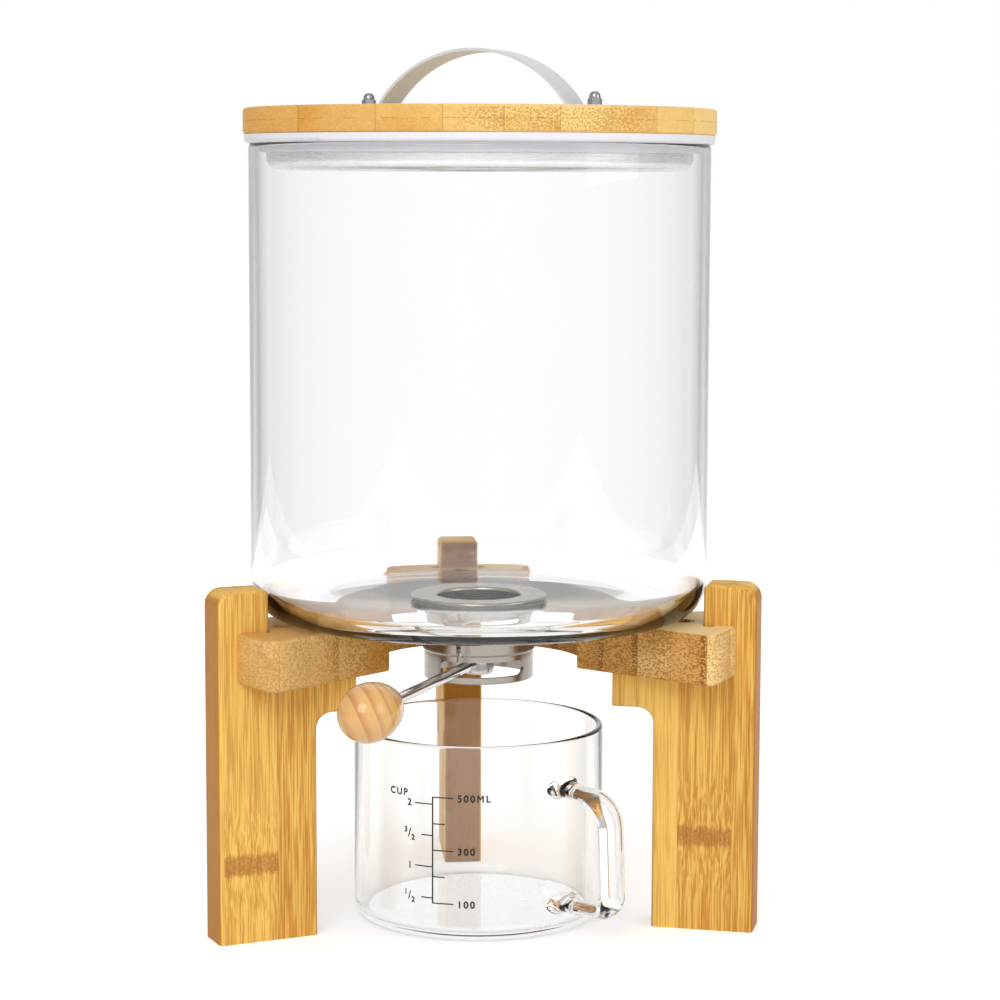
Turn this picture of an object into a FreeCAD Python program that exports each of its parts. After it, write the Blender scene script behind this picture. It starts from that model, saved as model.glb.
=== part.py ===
import FreeCAD, Part
import math
import os

V = FreeCAD.Vector
UP = V(0, 0, 1)
ORIGIN = V(0, 0, 0)

# Dry-food dispenser: a glass jar with a rotary outlet valve in its base stands on a
# three-legged board stand, over a glass measuring cup.
# Millimetres. +Z is up, z = 0 is the table, the Z axis is the axis of the jar, the valve
# and the cup, and -Y is the front, where the lever is.

# ---- stand: three upright boards let into one flat plate
ARM_SPREAD = 109.0        # angle from the back board to each front board
BOARD_T = 18.5
TAB_W = 23.0              # radial width of a tab, which is outside the jar
LEG_W = 44.5              # radial width of a leg
SHOULDER_REACH = 18.0     # how far the shoulder reaches in under the plate from its leg
SHOULDER_DROP = 15.5      # height of the shoulder below the plate
INNER_CORNER_R = 7.0
TAB_RISE = 17.5           # tab above the plate, which keeps the jar in place
TAB_CORNER_R = 7.0
BOARD_EDGE_R = 1.8
PLATE_Z = 112.5           # underside of the plate
PLATE_T = 22.0
PLATE_STEP = 8.5          # boards' outer edge beyond the plate's round rim
ARM_APEX = 29.6           # radius where the two sides of an arm would meet
ARM_HALF_ANGLE = 24.7
HUB_R = 64.0
HUB_WEB_R = 11.0          # concave corner between hub and arm
RECESS_W = 16.0           # pocket around the valve's hole, cut from below
RECESS_DEPTH = 11.0
PLATE_HOLE_FIT = 2.5      # clearance between the clamp nut and the plate's hole
PLATE_END_R = 2.0         # rounding of the plate's upper and lower edges
PLATE_CORNER_R = 5.0      # rounding of the arms' upright corners
SLOT_FIT = 0.12           # clearance between a board and its slot, each side
RELIEF_R = 2.6            # round relief in each inner corner of a slot
JAR_GUARD = 1.5           # clearance between the jar and the tabs

# ---- stand screws
SCREW_INSET = 24.0        # screws from the plate's round rim
SCREW_R = 2.0
SCREW_LEN = 36.0
SCREW_HEAD_R = 4.0
SCREW_HEAD_H = 2.6
SCREW_SINK = 6.0          # depth of the counterbore in the plate
SCREW_KEY = 3.0           # socket across flats
SINK_FIT = 0.35
THREAD_FIT = 0.05         # radial gap wherever a thread is drawn as a plain cylinder

# ---- jar
JAR_R = 100.0
JAR_H = 205.1
JAR_WALL = 4.0
JAR_BASE = 6.0
JAR_HEEL_R = 15.0
JAR_RIM_R = 1.7
JAR_HOLE_FIT = 0.8        # clearance between the neck and the jar's hole
JAR_HOLE_ROUND = 0.8

# ---- valve, fixed pieces
NECK_R = 20.0
NECK_WALL = 1.6
FLANGE_W = 10.0           # flange beyond the neck
FLANGE_T = 1.6
FLANGE_LEAD_R = 3.0       # rounded mouth of the neck
GASKET_FIT = 1.0          # clearance between the neck and a gasket
GASKET_INSET = 1.8        # gasket inside the flange's rim
GASKET_T = 1.2
NUT_W = 8.0               # nut beyond the neck
NUT_H = 7.0
NUT_GRIPS = 10
NUT_GRIP_R = 3.2
BODY_STEP = 2.4           # body's bore beyond the neck
BODY_WALL = 1.7
COLLAR_STEP = 0.7         # collar beyond the body's wall
BODY_COLLAR_H = 6.2
BODY_H = 19.2
BODY_GAP = 0.7            # gap between the body and the clamp nut
BODY_WEB = 3.9            # collar's web, which screws onto the neck
SLOT_RISE = 6.3           # middle of the lever's slot above the body's bottom
SLOT_H = 6.8
SLOT_RUN = 0.4            # gap between the rod and the slot's end
NOTCH_W = 2.2             # narrow upright slit over the lever
NOTCH_TOP = 1.2           # top of the slit below the body's top
GATE_T = 1.4
GATE_FIT = 0.06
PORT_IN_GAP = 1.8         # ports outside the hub post
PORT_OUT_GAP = 0.8        # ports inside the neck's bore
PORT_SWEEP = 82.0
PORT_CORNER_R = 1.2
PORT_MID = -8.75          # direction of the first port's middle

# ---- valve, turning pieces
SHUTTER_GAP = 0.3
SHUTTER_T = 1.5
SHUTTER_FIT = 0.3
HUB_POST_R = 6.8
HUB_POST_INSET = 1.0      # end of the hub post above the body's bottom
HUB_POST_ROUND = 1.6
PIVOT_R = 2.0
PIVOT_FIT = 0.05
PIVOT_DEPTH = 2.9         # how far the pivot screw goes into the hub post
PIVOT_HEAD_R = 4.2
PIVOT_HEAD_H = 2.0
WASHER_R = 5.4
WASHER_T = 0.6
ROD_R = 2.3
ROD_IN = 2.6              # radius where the rod's inner end sits in the hub post
LEVER_REST = -26.0        # lever from the middle of its travel, seen from above
LEVER_TRAVEL = 85.0
KNOB_LEN = 42.0
KNOB_R = 12.7
KNOB_START = 98.0         # radius of the knob's inner end
KNOB_TAPER = 0.30         # how much fuller the outer half is
INSERT_R = 3.3
INSERT_LEN = 13.0
INSERT_SINK = 1.0

# ---- lid
SEAL_T = 3.8
SEAL_OVER = 1.8           # seal beyond the jar
SEAL_RIM_W = 2.4          # seal's turned-in rim, over the plug's edge
SEAL_SKIRT_H = 4.4
SEAL_LIP_GAP = 0.45       # skirt to the jar's wall
SEAL_CORNER_R = 1.8
LID_OVER = 0.4            # lid beyond the seal
LID_T = 11.2
LID_EDGE_R = 1.3
PLUG_DEPTH = 16.0
PLUG_GAP = 3.6            # plug to the jar's wall
PLUG_WALL = 1.2
PLUG_CORNER_R = 5.0

# ---- lid handle
STRAP_TURN = -28.0        # direction of the strap
STRAP_W = 21.0
STRAP_T = 1.2
STRAP_RISE = 25.9
STRAP_HALF_SPAN = 44.0    # middle to where a leg of the arch meets the lid
STRAP_EASE = 2.5          # how much flatter a leg is than the arc that would reach the lid
STRAP_BEND_R = 2.2
STRAP_FOOT = 16.0
BOLT_INSET = 7.2          # bolts from the ends of the strap's feet
BOLT_R = 1.5
BOLT_HEAD_R = 2.9
BOLT_HEAD_H = 1.9
BOLT_FIT = 0.1
HANDLE_WASHER_R = 3.4
HANDLE_WASHER_T = 0.6
ACORN_FLATS = 5.5
ACORN_HEX_H = 2.6
ACORN_DOME_R = 2.5

# ---- measuring cup
CUP_R = 55.1
CUP_H = 85.5
CUP_WALL = 2.6
CUP_BASE = 3.6
CUP_HEEL_R = 6.0
HANDLE_TURN = -53.5       # direction of the cup's handle
HANDLE_W = 13.0
HANDLE_T = 7.0
HANDLE_OUT = 31.0         # foot of the handle's upright beyond the cup
HANDLE_LEAN = 2.2         # how far the upright leans in at its top
HANDLE_DROP = 20.5        # upper branch of the handle below the cup's rim
HANDLE_LOW = 14.2         # lower branch above the table
HANDLE_FALL = 2.0         # how far the upper branch drops before its bend
HANDLE_LIFT = 1.5         # how far the lower branch rises before its bend
HANDLE_TOP_R = 13.0
HANDLE_LOW_R = 7.5
HANDLE_PAD = 3.0          # length of the flare where the handle joins the cup
HANDLE_PAD_GROW = 1.5

# ---- worked out from the above
PLATE_TOP = PLATE_Z + PLATE_T
JAR_TOP = PLATE_TOP + JAR_H
JAR_FLOOR = PLATE_TOP + JAR_BASE
JAR_BORE_R = JAR_R - JAR_WALL
TAB_IN = JAR_R + JAR_GUARD
LEG_OUT = TAB_IN + TAB_W
LEG_IN = LEG_OUT - LEG_W
SHOULDER_IN = LEG_IN - SHOULDER_REACH
PLATE_R = LEG_OUT - PLATE_STEP
SCREW_U = PLATE_R - SCREW_INSET
ARM_ANGLES = {"leg_back": 90.0, "leg_left": 90.0 + ARM_SPREAD, "leg_right": 90.0 - ARM_SPREAD}
JAR_HOLE_R = NECK_R + JAR_HOLE_FIT
NECK_BORE_R = NECK_R - NECK_WALL
FLANGE_R = NECK_R + FLANGE_W
FLANGE_Z = JAR_FLOOR + GASKET_T
GASKET_IN_R = NECK_R + GASKET_FIT
GASKET_R = FLANGE_R - GASKET_INSET
NUT_R = NECK_R + NUT_W
NUT_TOP = PLATE_TOP - GASKET_T
PLATE_HOLE_R = NUT_R + PLATE_HOLE_FIT
RECESS_R = PLATE_HOLE_R + RECESS_W
BODY_BORE_R = NECK_R + BODY_STEP
BODY_R = BODY_BORE_R + BODY_WALL
BODY_COLLAR_R = BODY_R + COLLAR_STEP
BODY_TOP = NUT_TOP - NUT_H - BODY_GAP
BODY_BOTTOM = BODY_TOP - BODY_H
SLOT_Z = BODY_BOTTOM + SLOT_RISE
HUB_POST_END = BODY_BOTTOM + HUB_POST_INSET
PORT_IN_R = HUB_POST_R + PORT_IN_GAP
PORT_OUT_R = NECK_BORE_R - PORT_OUT_GAP
GATE_TOP = BODY_TOP - BODY_WEB
GATE_Z = GATE_TOP - GATE_T
SHUTTER_TOP = GATE_Z - SHUTTER_GAP
SHUTTER_Z = SHUTTER_TOP - SHUTTER_T
FRONT = -90.0
LEVER_ANGLE = FRONT + LEVER_REST
SEAL_Z = JAR_TOP
SEAL_R = JAR_R + SEAL_OVER
LID_Z = SEAL_Z + SEAL_T
LID_TOP = LID_Z + LID_T
LID_R = SEAL_R + LID_OVER
PLUG_R = JAR_BORE_R - PLUG_GAP
SEAL_IN_R = PLUG_R - SEAL_RIM_W
PLUG_Z = LID_Z - PLUG_DEPTH
STRAP_TOE = STRAP_HALF_SPAN + STRAP_FOOT
BOLT_OUT = STRAP_TOE - BOLT_INSET
FOOT_TOP = LID_TOP + STRAP_T
ACORN_Z = FOOT_TOP + HANDLE_WASHER_T
HANDLE_REACH = CUP_R + HANDLE_OUT
HANDLE_TOP = CUP_H - HANDLE_DROP


# ---- helpers
def polar(radius, degrees, z=0.0):
    a = math.radians(degrees)
    return V(radius * math.cos(a), radius * math.sin(a), z)


def turned(shape, degrees):
    """The shape turned about the Z axis."""
    out = shape.copy()
    out.rotate(ORIGIN, UP, degrees)
    return out


def disc(radius, z, height):
    return Part.makeCylinder(radius, height, V(0, 0, z))


def tube(radius, bore, z, height):
    return disc(radius, z, height).cut(disc(bore, z - 1, height + 2))


def circles(shape, z, radius):
    """Circular edges of the shape at one height and radius about the Z axis."""
    found = []
    for edge in shape.Edges:
        curve = edge.Curve
        if not isinstance(curve, Part.Circle):
            continue
        if abs(curve.Center.z - z) < 0.01 and abs(curve.Radius - radius) < 0.01:
            if math.hypot(curve.Center.x, curve.Center.y) < 0.01:
                found.append(edge)
    return found


def rounded_edges(corners, closed):
    """Edges through corners (point, radius), with a tangent arc at each corner that has a radius."""
    count = len(corners)
    starts = []
    ends = []
    arcs = []
    for i, (point, radius) in enumerate(corners):
        first_or_last = not closed and i in (0, count - 1)
        if radius <= 0 or first_or_last:
            starts.append(point)
            ends.append(point)
            arcs.append(None)
            continue
        back = (corners[i - 1][0] - point).normalize()
        ahead = (corners[(i + 1) % count][0] - point).normalize()
        half = back.getAngle(ahead) / 2
        run = radius / math.tan(half)
        middle = (back + ahead).normalize() * (radius / math.sin(half) - radius)
        starts.append(point + back * run)
        ends.append(point + ahead * run)
        arcs.append(Part.Arc(starts[i], point + middle, ends[i]).toShape())
    edges = []
    for i in range(count):
        if arcs[i]:
            edges.append(arcs[i])
        after = (i + 1) % count
        if (closed or i < count - 1) and (ends[i] - starts[after]).Length > 1e-6:
            edges.append(Part.makeLine(ends[i], starts[after]))
    return edges


def outline(corners):
    return Part.Face(Part.Wire(rounded_edges(corners, True)))


def revolved(corners):
    """A solid of revolution about Z from corners given as (radius, z, corner radius)."""
    face = outline([(V(r, 0, z), round_r) for r, z, round_r in corners])
    return face.revolve(ORIGIN, UP, 360)


def hexagon(flats, z, height):
    ring = [polar(flats / math.sqrt(3), 60 * i + 30, z) for i in range(7)]
    return Part.Face(Part.makePolygon(ring)).extrude(V(0, 0, height))


def sector(r_in, r_out, middle, sweep, z, height):
    """A ring sector standing on z."""
    pie = Part.makeCylinder(r_out, height, V(0, 0, z), UP, sweep)
    return turned(pie.cut(disc(r_in, z - 1, height + 2)), middle - sweep / 2)


def upright_edges(shape):
    return [e for e in shape.Edges if len(e.Vertexes) == 2 and abs(e.tangentAt(e.FirstParameter).z) > 0.99]


def save(name, shape):
    """Writes a node: its one solid, or all of its solids where like pieces share the node."""
    solids = shape.Solids
    kept = solids[0] if len(solids) == 1 else Part.makeCompound(solids)
    kept.exportStep("parts/" + name + ".step")


# ---- stand
def leg_board(angle):
    """One board: leg, shoulder under the plate, and the tab that stands beside the jar."""
    shoulder_z = PLATE_Z - SHOULDER_DROP
    top = PLATE_TOP + TAB_RISE
    profile = outline([
        (V(LEG_OUT, 0, 0), 0),
        (V(LEG_OUT, 0, top), TAB_CORNER_R),
        (V(TAB_IN, 0, top), BOARD_EDGE_R + 0.6),
        (V(TAB_IN, 0, PLATE_Z), 0),
        (V(SHOULDER_IN, 0, PLATE_Z), 0),
        (V(SHOULDER_IN, 0, shoulder_z), 0),
        (V(LEG_IN, 0, shoulder_z), INNER_CORNER_R),
        (V(LEG_IN, 0, 0), 0),
    ])
    board = profile.extrude(V(0, BOARD_T, 0))
    board.translate(V(0, -BOARD_T / 2, 0))
    board = board.makeFillet(BOARD_EDGE_R, soft_board_edges(board))
    pilot_top = PLATE_TOP - SCREW_SINK
    pilot = Part.makeCylinder(SCREW_R + THREAD_FIT, SCREW_LEN + 1, V(SCREW_U, 0, pilot_top - SCREW_LEN - 1))
    return turned(board.cut(pilot), angle)


def soft_board_edges(board):
    """Edges of the two broad faces that are rounded over: all but the foot, the seat and the nose."""
    chosen = []
    for edge in board.Edges:
        box = edge.BoundBox
        on_face = box.YLength < 0.01 and abs(abs(box.YMin) - BOARD_T / 2) < 0.01
        at_foot = box.ZMax < 0.01
        at_seat = box.ZLength < 0.01 and abs(box.ZMin - PLATE_Z) < 0.01
        at_nose = box.XLength < 0.01 and abs(box.XMin - SHOULDER_IN) < 0.01
        if on_face and not (at_foot or at_seat or at_nose):
            chosen.append(edge)
    return chosen


def arm_blank():
    """One arm of the plate along +X, widening outwards to the plate's round rim."""
    half = math.radians(ARM_HALF_ANGLE)
    reach = PLATE_R * 1.2
    side = (reach - ARM_APEX) * math.tan(half)
    tip = [V(ARM_APEX, 0, 0), V(reach, -side, 0), V(reach, side, 0), V(ARM_APEX, 0, 0)]
    wedge = Part.Face(Part.makePolygon(tip)).extrude(V(0, 0, PLATE_T))
    return wedge.common(Part.makeCylinder(PLATE_R, PLATE_T))


def front_notch():
    """The open wedge between the two front arms, from one arm's side to the other's."""
    arm = ARM_ANGLES["leg_right"]
    side_dir = math.radians(arm - ARM_HALF_ANGLE)
    start = polar(ARM_APEX, arm)
    apex_y = start.y - start.x * math.tan(side_dir)
    reach = HUB_R * 2
    edge_y = start.y + (reach - start.x) * math.tan(side_dir)
    ring = [V(0, apex_y, -1), V(reach, edge_y, -1), V(-reach, edge_y, -1), V(0, apex_y, -1)]
    return Part.Face(Part.makePolygon(ring)).extrude(V(0, 0, PLATE_T + 2))


def board_slot():
    """Open-ended slot for a board's tab, with a round relief in each inner corner."""
    half = BOARD_T / 2 + SLOT_FIT
    start = TAB_IN - SLOT_FIT
    slot = Part.makeBox(PLATE_R, 2 * half, PLATE_T + 2, V(start, -half, -1))
    for side in (-1, 1):
        centre = V(start + RELIEF_R, side * (half + RELIEF_R / 2), -1)
        slot = slot.fuse(Part.makeCylinder(RELIEF_R, PLATE_T + 2, centre))
    return slot


def stand_plate():
    arms = [turned(arm_blank(), angle) for angle in ARM_ANGLES.values()]
    hub = Part.makeCylinder(HUB_R, PLATE_T)
    plate = hub.fuse(arms).removeSplitter()
    webs = []
    for edge in upright_edges(plate):
        spot = edge.Vertexes[0].Point
        if abs(math.hypot(spot.x, spot.y) - HUB_R) < 0.1 and spot.y > -HUB_R * 0.35:
            webs.append(edge)
    plate = plate.makeFillet(HUB_WEB_R, webs)
    plate = plate.cut(front_notch())
    plate = plate.cut(Part.makeCylinder(PLATE_HOLE_R, PLATE_T + 2, V(0, 0, -1)))
    plate = plate.makeFillet(PLATE_CORNER_R, [e for e in upright_edges(plate) if on_plate_rim(e)])
    rims = [e for e in plate.Edges if abs(e.BoundBox.ZLength) < 0.01 and on_plate_rim(e)]
    plate = plate.makeFillet(PLATE_END_R, rims)
    plate = plate.cut(Part.makeCylinder(RECESS_R, RECESS_DEPTH + 1, V(0, 0, -1)))
    for angle in ARM_ANGLES.values():
        sink = Part.makeCylinder(SCREW_HEAD_R + SINK_FIT, SCREW_SINK + 1, V(SCREW_U, 0, PLATE_T - SCREW_SINK))
        through = Part.makeCylinder(SCREW_R + THREAD_FIT, PLATE_T + 2, V(SCREW_U, 0, -1))
        plate = plate.cut(turned(board_slot().fuse([sink, through]), angle))
    plate.translate(V(0, 0, PLATE_Z))
    return plate


def on_plate_rim(edge):
    middle = edge.valueAt((edge.FirstParameter + edge.LastParameter) / 2)
    return abs(math.hypot(middle.x, middle.y) - PLATE_R) < 0.01


def stand_screw():
    """Countersunk wood screw: head with a hexagon socket, shank and point."""
    seat = PLATE_TOP - SCREW_SINK
    tip = seat - SCREW_LEN
    point = SCREW_R * 2
    screw = revolved([
        (0, tip, 0),
        (SCREW_R, tip + point, 0),
        (SCREW_R, seat, 0),
        (SCREW_HEAD_R, seat, 0),
        (SCREW_HEAD_R, seat + SCREW_HEAD_H, 0.6),
        (0, seat + SCREW_HEAD_H, 0),
    ])
    return screw.cut(hexagon(SCREW_KEY, seat + SCREW_HEAD_H * 0.4, SCREW_HEAD_H))


def stand_screws():
    screw = stand_screw()
    screw.translate(V(SCREW_U, 0, 0))
    return Part.makeCompound([turned(screw, angle) for angle in ARM_ANGLES.values()])


# ---- jar
def jar():
    """Straight glass jar with a rounded heel, a thick base and a hole for the valve."""
    inner_heel = JAR_HEEL_R - JAR_WALL
    return revolved([
        (JAR_HOLE_R, PLATE_TOP, JAR_HOLE_ROUND),
        (JAR_R, PLATE_TOP, JAR_HEEL_R),
        (JAR_R, JAR_TOP, JAR_RIM_R),
        (JAR_BORE_R, JAR_TOP, JAR_RIM_R),
        (JAR_BORE_R, JAR_FLOOR, inner_heel),
        (JAR_HOLE_R, JAR_FLOOR, JAR_HOLE_ROUND),
    ])


# ---- valve, fixed pieces
def inlet_flange():
    """Flanged neck: the flange lies inside the jar and the neck goes down through its base."""
    top = FLANGE_Z + FLANGE_T
    return revolved([
        (NECK_BORE_R, GATE_TOP, 0),
        (NECK_R, GATE_TOP, 0.4),
        (NECK_R, FLANGE_Z, 0),
        (FLANGE_R, FLANGE_Z, 0.3),
        (FLANGE_R, top, 1.0),
        (NECK_BORE_R, top, FLANGE_LEAD_R * 0.5),
    ])


def gasket(z):
    return tube(GASKET_R, GASKET_IN_R, z, GASKET_T)


def clamp_nut():
    """Ring nut that pulls the flange down onto the jar's base, with finger grips round it."""
    nut = tube(NUT_R, NECK_R + THREAD_FIT, NUT_TOP - NUT_H, NUT_H)
    rims = circles(nut, NUT_TOP - NUT_H, NUT_R) + circles(nut, NUT_TOP, NUT_R)
    nut = nut.makeFillet(0.8, rims)
    step = 360 / NUT_GRIPS
    grips = []
    for i in range(NUT_GRIPS):
        centre = polar(NUT_R + NUT_GRIP_R * 0.55, i * step, NUT_TOP - NUT_H - 1)
        grips.append(Part.makeCylinder(NUT_GRIP_R, NUT_H + 2, centre))
    return nut.cut(grips)


def lever_slot():
    """Curved slot in the valve body's front wall, as long as the lever's travel, with round ends."""
    rod_half = math.degrees(math.asin((ROD_R + SLOT_RUN) / BODY_BORE_R))
    half = LEVER_TRAVEL / 2 + rod_half
    end_half = math.degrees(math.asin(SLOT_H / 2 / BODY_R))
    band = sector(BODY_BORE_R - 1, BODY_R + 2, FRONT, 2 * (half - end_half), SLOT_Z - SLOT_H / 2, SLOT_H)
    ends = []
    for side in (-1, 1):
        along = polar(1, FRONT + side * (half - end_half))
        start = along * (BODY_BORE_R - BODY_WALL) + V(0, 0, SLOT_Z)
        ends.append(Part.makeCylinder(SLOT_H / 2, 3 * BODY_WALL, start, along))
    return band.fuse(ends)


def valve_body():
    """Outlet housing, open below: collar above, slotted wall, and a closed ring at the bottom."""
    collar_z = BODY_TOP - BODY_COLLAR_H
    body = revolved([
        (NECK_R + THREAD_FIT, BODY_TOP, 0),
        (BODY_COLLAR_R, BODY_TOP, 0.8),
        (BODY_COLLAR_R, collar_z, 0.3),
        (BODY_R, collar_z - 1.0, 0.3),
        (BODY_R, BODY_BOTTOM, 0.5),
        (BODY_BORE_R, BODY_BOTTOM, 0.5),
        (BODY_BORE_R, GATE_TOP, 0),
        (NECK_R + THREAD_FIT, GATE_TOP, 0),
    ])
    slit_z = SLOT_Z + SLOT_H / 2 - 1
    slit_x = BODY_BORE_R - BODY_WALL
    slit_h = BODY_TOP - NOTCH_TOP - slit_z
    slit = Part.makeBox(3 * BODY_WALL, NOTCH_W, slit_h, V(slit_x, -NOTCH_W / 2, slit_z))
    return body.cut([lever_slot(), turned(slit, LEVER_ANGLE)])


def ports(middle, z, height):
    """Two opposite ring sectors with rounded corners."""
    port = sector(PORT_IN_R, PORT_OUT_R, middle, PORT_SWEEP, z, height)
    port = port.makeFillet(PORT_CORNER_R, upright_edges(port))
    return [port, turned(port, 180)]


def gate_plate():
    """Fixed disc with two ports, held in the body against the neck's end."""
    plate = tube(BODY_BORE_R - GATE_FIT, PIVOT_R + PIVOT_FIT, GATE_Z, GATE_T)
    return plate.cut(ports(PORT_MID, GATE_Z - 1, GATE_T + 2))


def pivot_washer():
    return tube(WASHER_R, PIVOT_R + PIVOT_FIT, GATE_TOP, WASHER_T)


# ---- valve, turning pieces
def shutter():
    """Turning disc with two ports and a hub post below, which takes the lever's rod."""
    disc_blank = disc(BODY_BORE_R - SHUTTER_FIT, SHUTTER_Z, SHUTTER_T)
    lag = LEVER_TRAVEL / 2 + LEVER_REST
    blank = disc_blank.cut(ports(PORT_MID + lag, SHUTTER_Z - 1, SHUTTER_T + 2))
    post_h = SHUTTER_Z - HUB_POST_END
    post = disc(HUB_POST_R, HUB_POST_END, post_h)
    post = post.makeFillet(HUB_POST_ROUND, circles(post, HUB_POST_END, HUB_POST_R))
    whole = blank.fuse(post).removeSplitter()
    root = circles(whole, SHUTTER_Z, HUB_POST_R)
    whole = whole.makeFillet(0.6, root)
    pivot_bore = disc(PIVOT_R + THREAD_FIT, SHUTTER_TOP - PIVOT_DEPTH, PIVOT_DEPTH + 1)
    along = polar(1, LEVER_ANGLE)
    rod_start = along * (ROD_IN - THREAD_FIT) + V(0, 0, SLOT_Z)
    rod_bore = Part.makeCylinder(ROD_R + THREAD_FIT, HUB_POST_R, rod_start, along)
    return whole.cut([pivot_bore, rod_bore])


def pivot_screw():
    """Shouldered screw: turns in the gate plate, and its head carries the shutter."""
    seat = GATE_TOP + WASHER_T
    foot = SHUTTER_TOP - PIVOT_DEPTH + THREAD_FIT
    top = seat + PIVOT_HEAD_H
    screw = revolved([
        (0, foot, 0),
        (PIVOT_R, foot, 0.4),
        (PIVOT_R, seat, 0),
        (PIVOT_HEAD_R, seat, 0.2),
        (PIVOT_HEAD_R, top, 0.9),
        (0, top, 0),
    ])
    slot = Part.makeBox(2 * PIVOT_HEAD_R + 2, 1.0, 1.0, V(-PIVOT_HEAD_R - 1, -0.5, top - 0.9))
    return screw.cut(slot)


def lever_rod():
    length = KNOB_START + INSERT_SINK + INSERT_LEN * 0.8 - ROD_IN
    rod = Part.makeCylinder(ROD_R, length, V(ROD_IN, 0, SLOT_Z), V(1, 0, 0))
    rod = rod.makeChamfer(0.4, [e for e in rod.Edges if isinstance(e.Curve, Part.Circle)])
    return turned(rod, LEVER_ANGLE)


def knob_blank():
    """Egg shape about the rod's axis, fuller at its outer end."""
    steps = 14
    points = []
    for i in range(steps + 1):
        a = math.pi * i / steps
        along = KNOB_START + KNOB_LEN * (1 - math.cos(a)) / 2
        across = KNOB_R * math.sin(a) * (1 - KNOB_TAPER * math.cos(a)) / (1 + KNOB_TAPER * KNOB_TAPER)
        points.append(V(along, 0, SLOT_Z + max(across, 0)))
    curve = Part.BSplineCurve()
    curve.interpolate(points)
    axis = Part.makeLine(points[-1], points[0])
    face = Part.Face(Part.Wire([curve.toShape(), axis]))
    return face.revolve(V(0, 0, SLOT_Z), V(1, 0, 0), 360)


def insert_start():
    """Radius of the insert's inner end: just inside the knob's flat mouth."""
    return KNOB_START + INSERT_SINK


def lever_knob():
    knob = knob_blank()
    mouth = Part.makeCylinder(KNOB_R * 2, INSERT_SINK, V(KNOB_START - 0.001, 0, SLOT_Z), V(1, 0, 0))
    bore_start = V(insert_start() - 0.1, 0, SLOT_Z)
    bore = Part.makeCylinder(INSERT_R + THREAD_FIT, INSERT_LEN + 0.2, bore_start, V(1, 0, 0))
    return turned(knob.cut([mouth, bore]), LEVER_ANGLE)


def knob_insert():
    """Threaded sleeve let into the knob."""
    sleeve = Part.makeCylinder(INSERT_R, INSERT_LEN, V(insert_start(), 0, SLOT_Z), V(1, 0, 0))
    bore_start = V(insert_start() - 1, 0, SLOT_Z)
    bore = Part.makeCylinder(ROD_R + THREAD_FIT, INSERT_LEN * 0.9, bore_start, V(1, 0, 0))
    return turned(sleeve.cut(bore), LEVER_ANGLE)


# ---- lid
def lid_seal():
    """Soft ring under the lid: a flange on the jar's rim and a skirt inside it."""
    skirt_r = JAR_BORE_R - SEAL_LIP_GAP
    low = SEAL_Z - SEAL_SKIRT_H
    return revolved([
        (SEAL_IN_R, LID_Z, 0),
        (SEAL_R, LID_Z, 0.3),
        (SEAL_R, SEAL_Z, SEAL_CORNER_R),
        (skirt_r, SEAL_Z, 0),
        (skirt_r, low, 1.0),
        (PLUG_R + THREAD_FIT, low, 0.3),
        (PLUG_R + THREAD_FIT, LID_Z - PLUG_WALL + THREAD_FIT, 0),
        (SEAL_IN_R, LID_Z - PLUG_WALL + THREAD_FIT, 0),
    ])


def lid_plug():
    """Shallow pan under the lid, hung by the turned-in rim inside the seal."""
    inner = PLUG_R - PLUG_WALL
    rim_in = SEAL_IN_R - THREAD_FIT
    rim_z = LID_Z - PLUG_WALL
    return revolved([
        (0, PLUG_Z, 0),
        (PLUG_R, PLUG_Z, PLUG_CORNER_R),
        (PLUG_R, rim_z, 0),
        (rim_in, rim_z, 0),
        (rim_in, LID_Z, 0),
        (rim_in - 4, LID_Z, 0),
        (rim_in - 4, rim_z - PLUG_WALL, 0),
        (inner, rim_z - PLUG_WALL, 0),
        (inner, PLUG_Z + PLUG_WALL, PLUG_CORNER_R - PLUG_WALL),
        (0, PLUG_Z + PLUG_WALL, 0),
    ])


def at_bolts(shape):
    """Copies of the shape at both handle bolts."""
    copies = []
    for side in (0, 180):
        copy = shape.copy()
        copy.translate(V(BOLT_OUT, 0, 0))
        copies.append(turned(copy, STRAP_TURN + side))
    return copies


def lid_disc():
    lid = disc(LID_R, LID_Z, LID_T)
    lid = lid.makeFillet(LID_EDGE_R, circles(lid, LID_Z, LID_R) + circles(lid, LID_TOP, LID_R))
    return lid.cut(at_bolts(disc(BOLT_R + BOLT_FIT, LID_Z - 1, LID_T + 2)))


def strap_side(lift):
    """Corners of the strap's lower (lift 0) or upper (lift STRAP_T) face, from left to right."""
    slope = 2 * math.atan((STRAP_RISE - STRAP_T) / STRAP_HALF_SPAN) - math.radians(STRAP_EASE)
    crown_r = (STRAP_RISE - STRAP_T - STRAP_HALF_SPAN * math.tan(slope)) / (1 - 1 / math.cos(slope))
    foot_z = LID_TOP + lift
    knee = STRAP_HALF_SPAN + lift * (1 / math.sin(slope) - 1 / math.tan(slope))
    peak = foot_z + knee * math.tan(slope)
    bend = STRAP_BEND_R + STRAP_T - lift
    return [
        (V(-STRAP_TOE, 0, foot_z), 0),
        (V(-knee, 0, foot_z), bend),
        (V(0, 0, peak), crown_r + lift),
        (V(knee, 0, foot_z), bend),
        (V(STRAP_TOE, 0, foot_z), 0),
    ]


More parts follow.
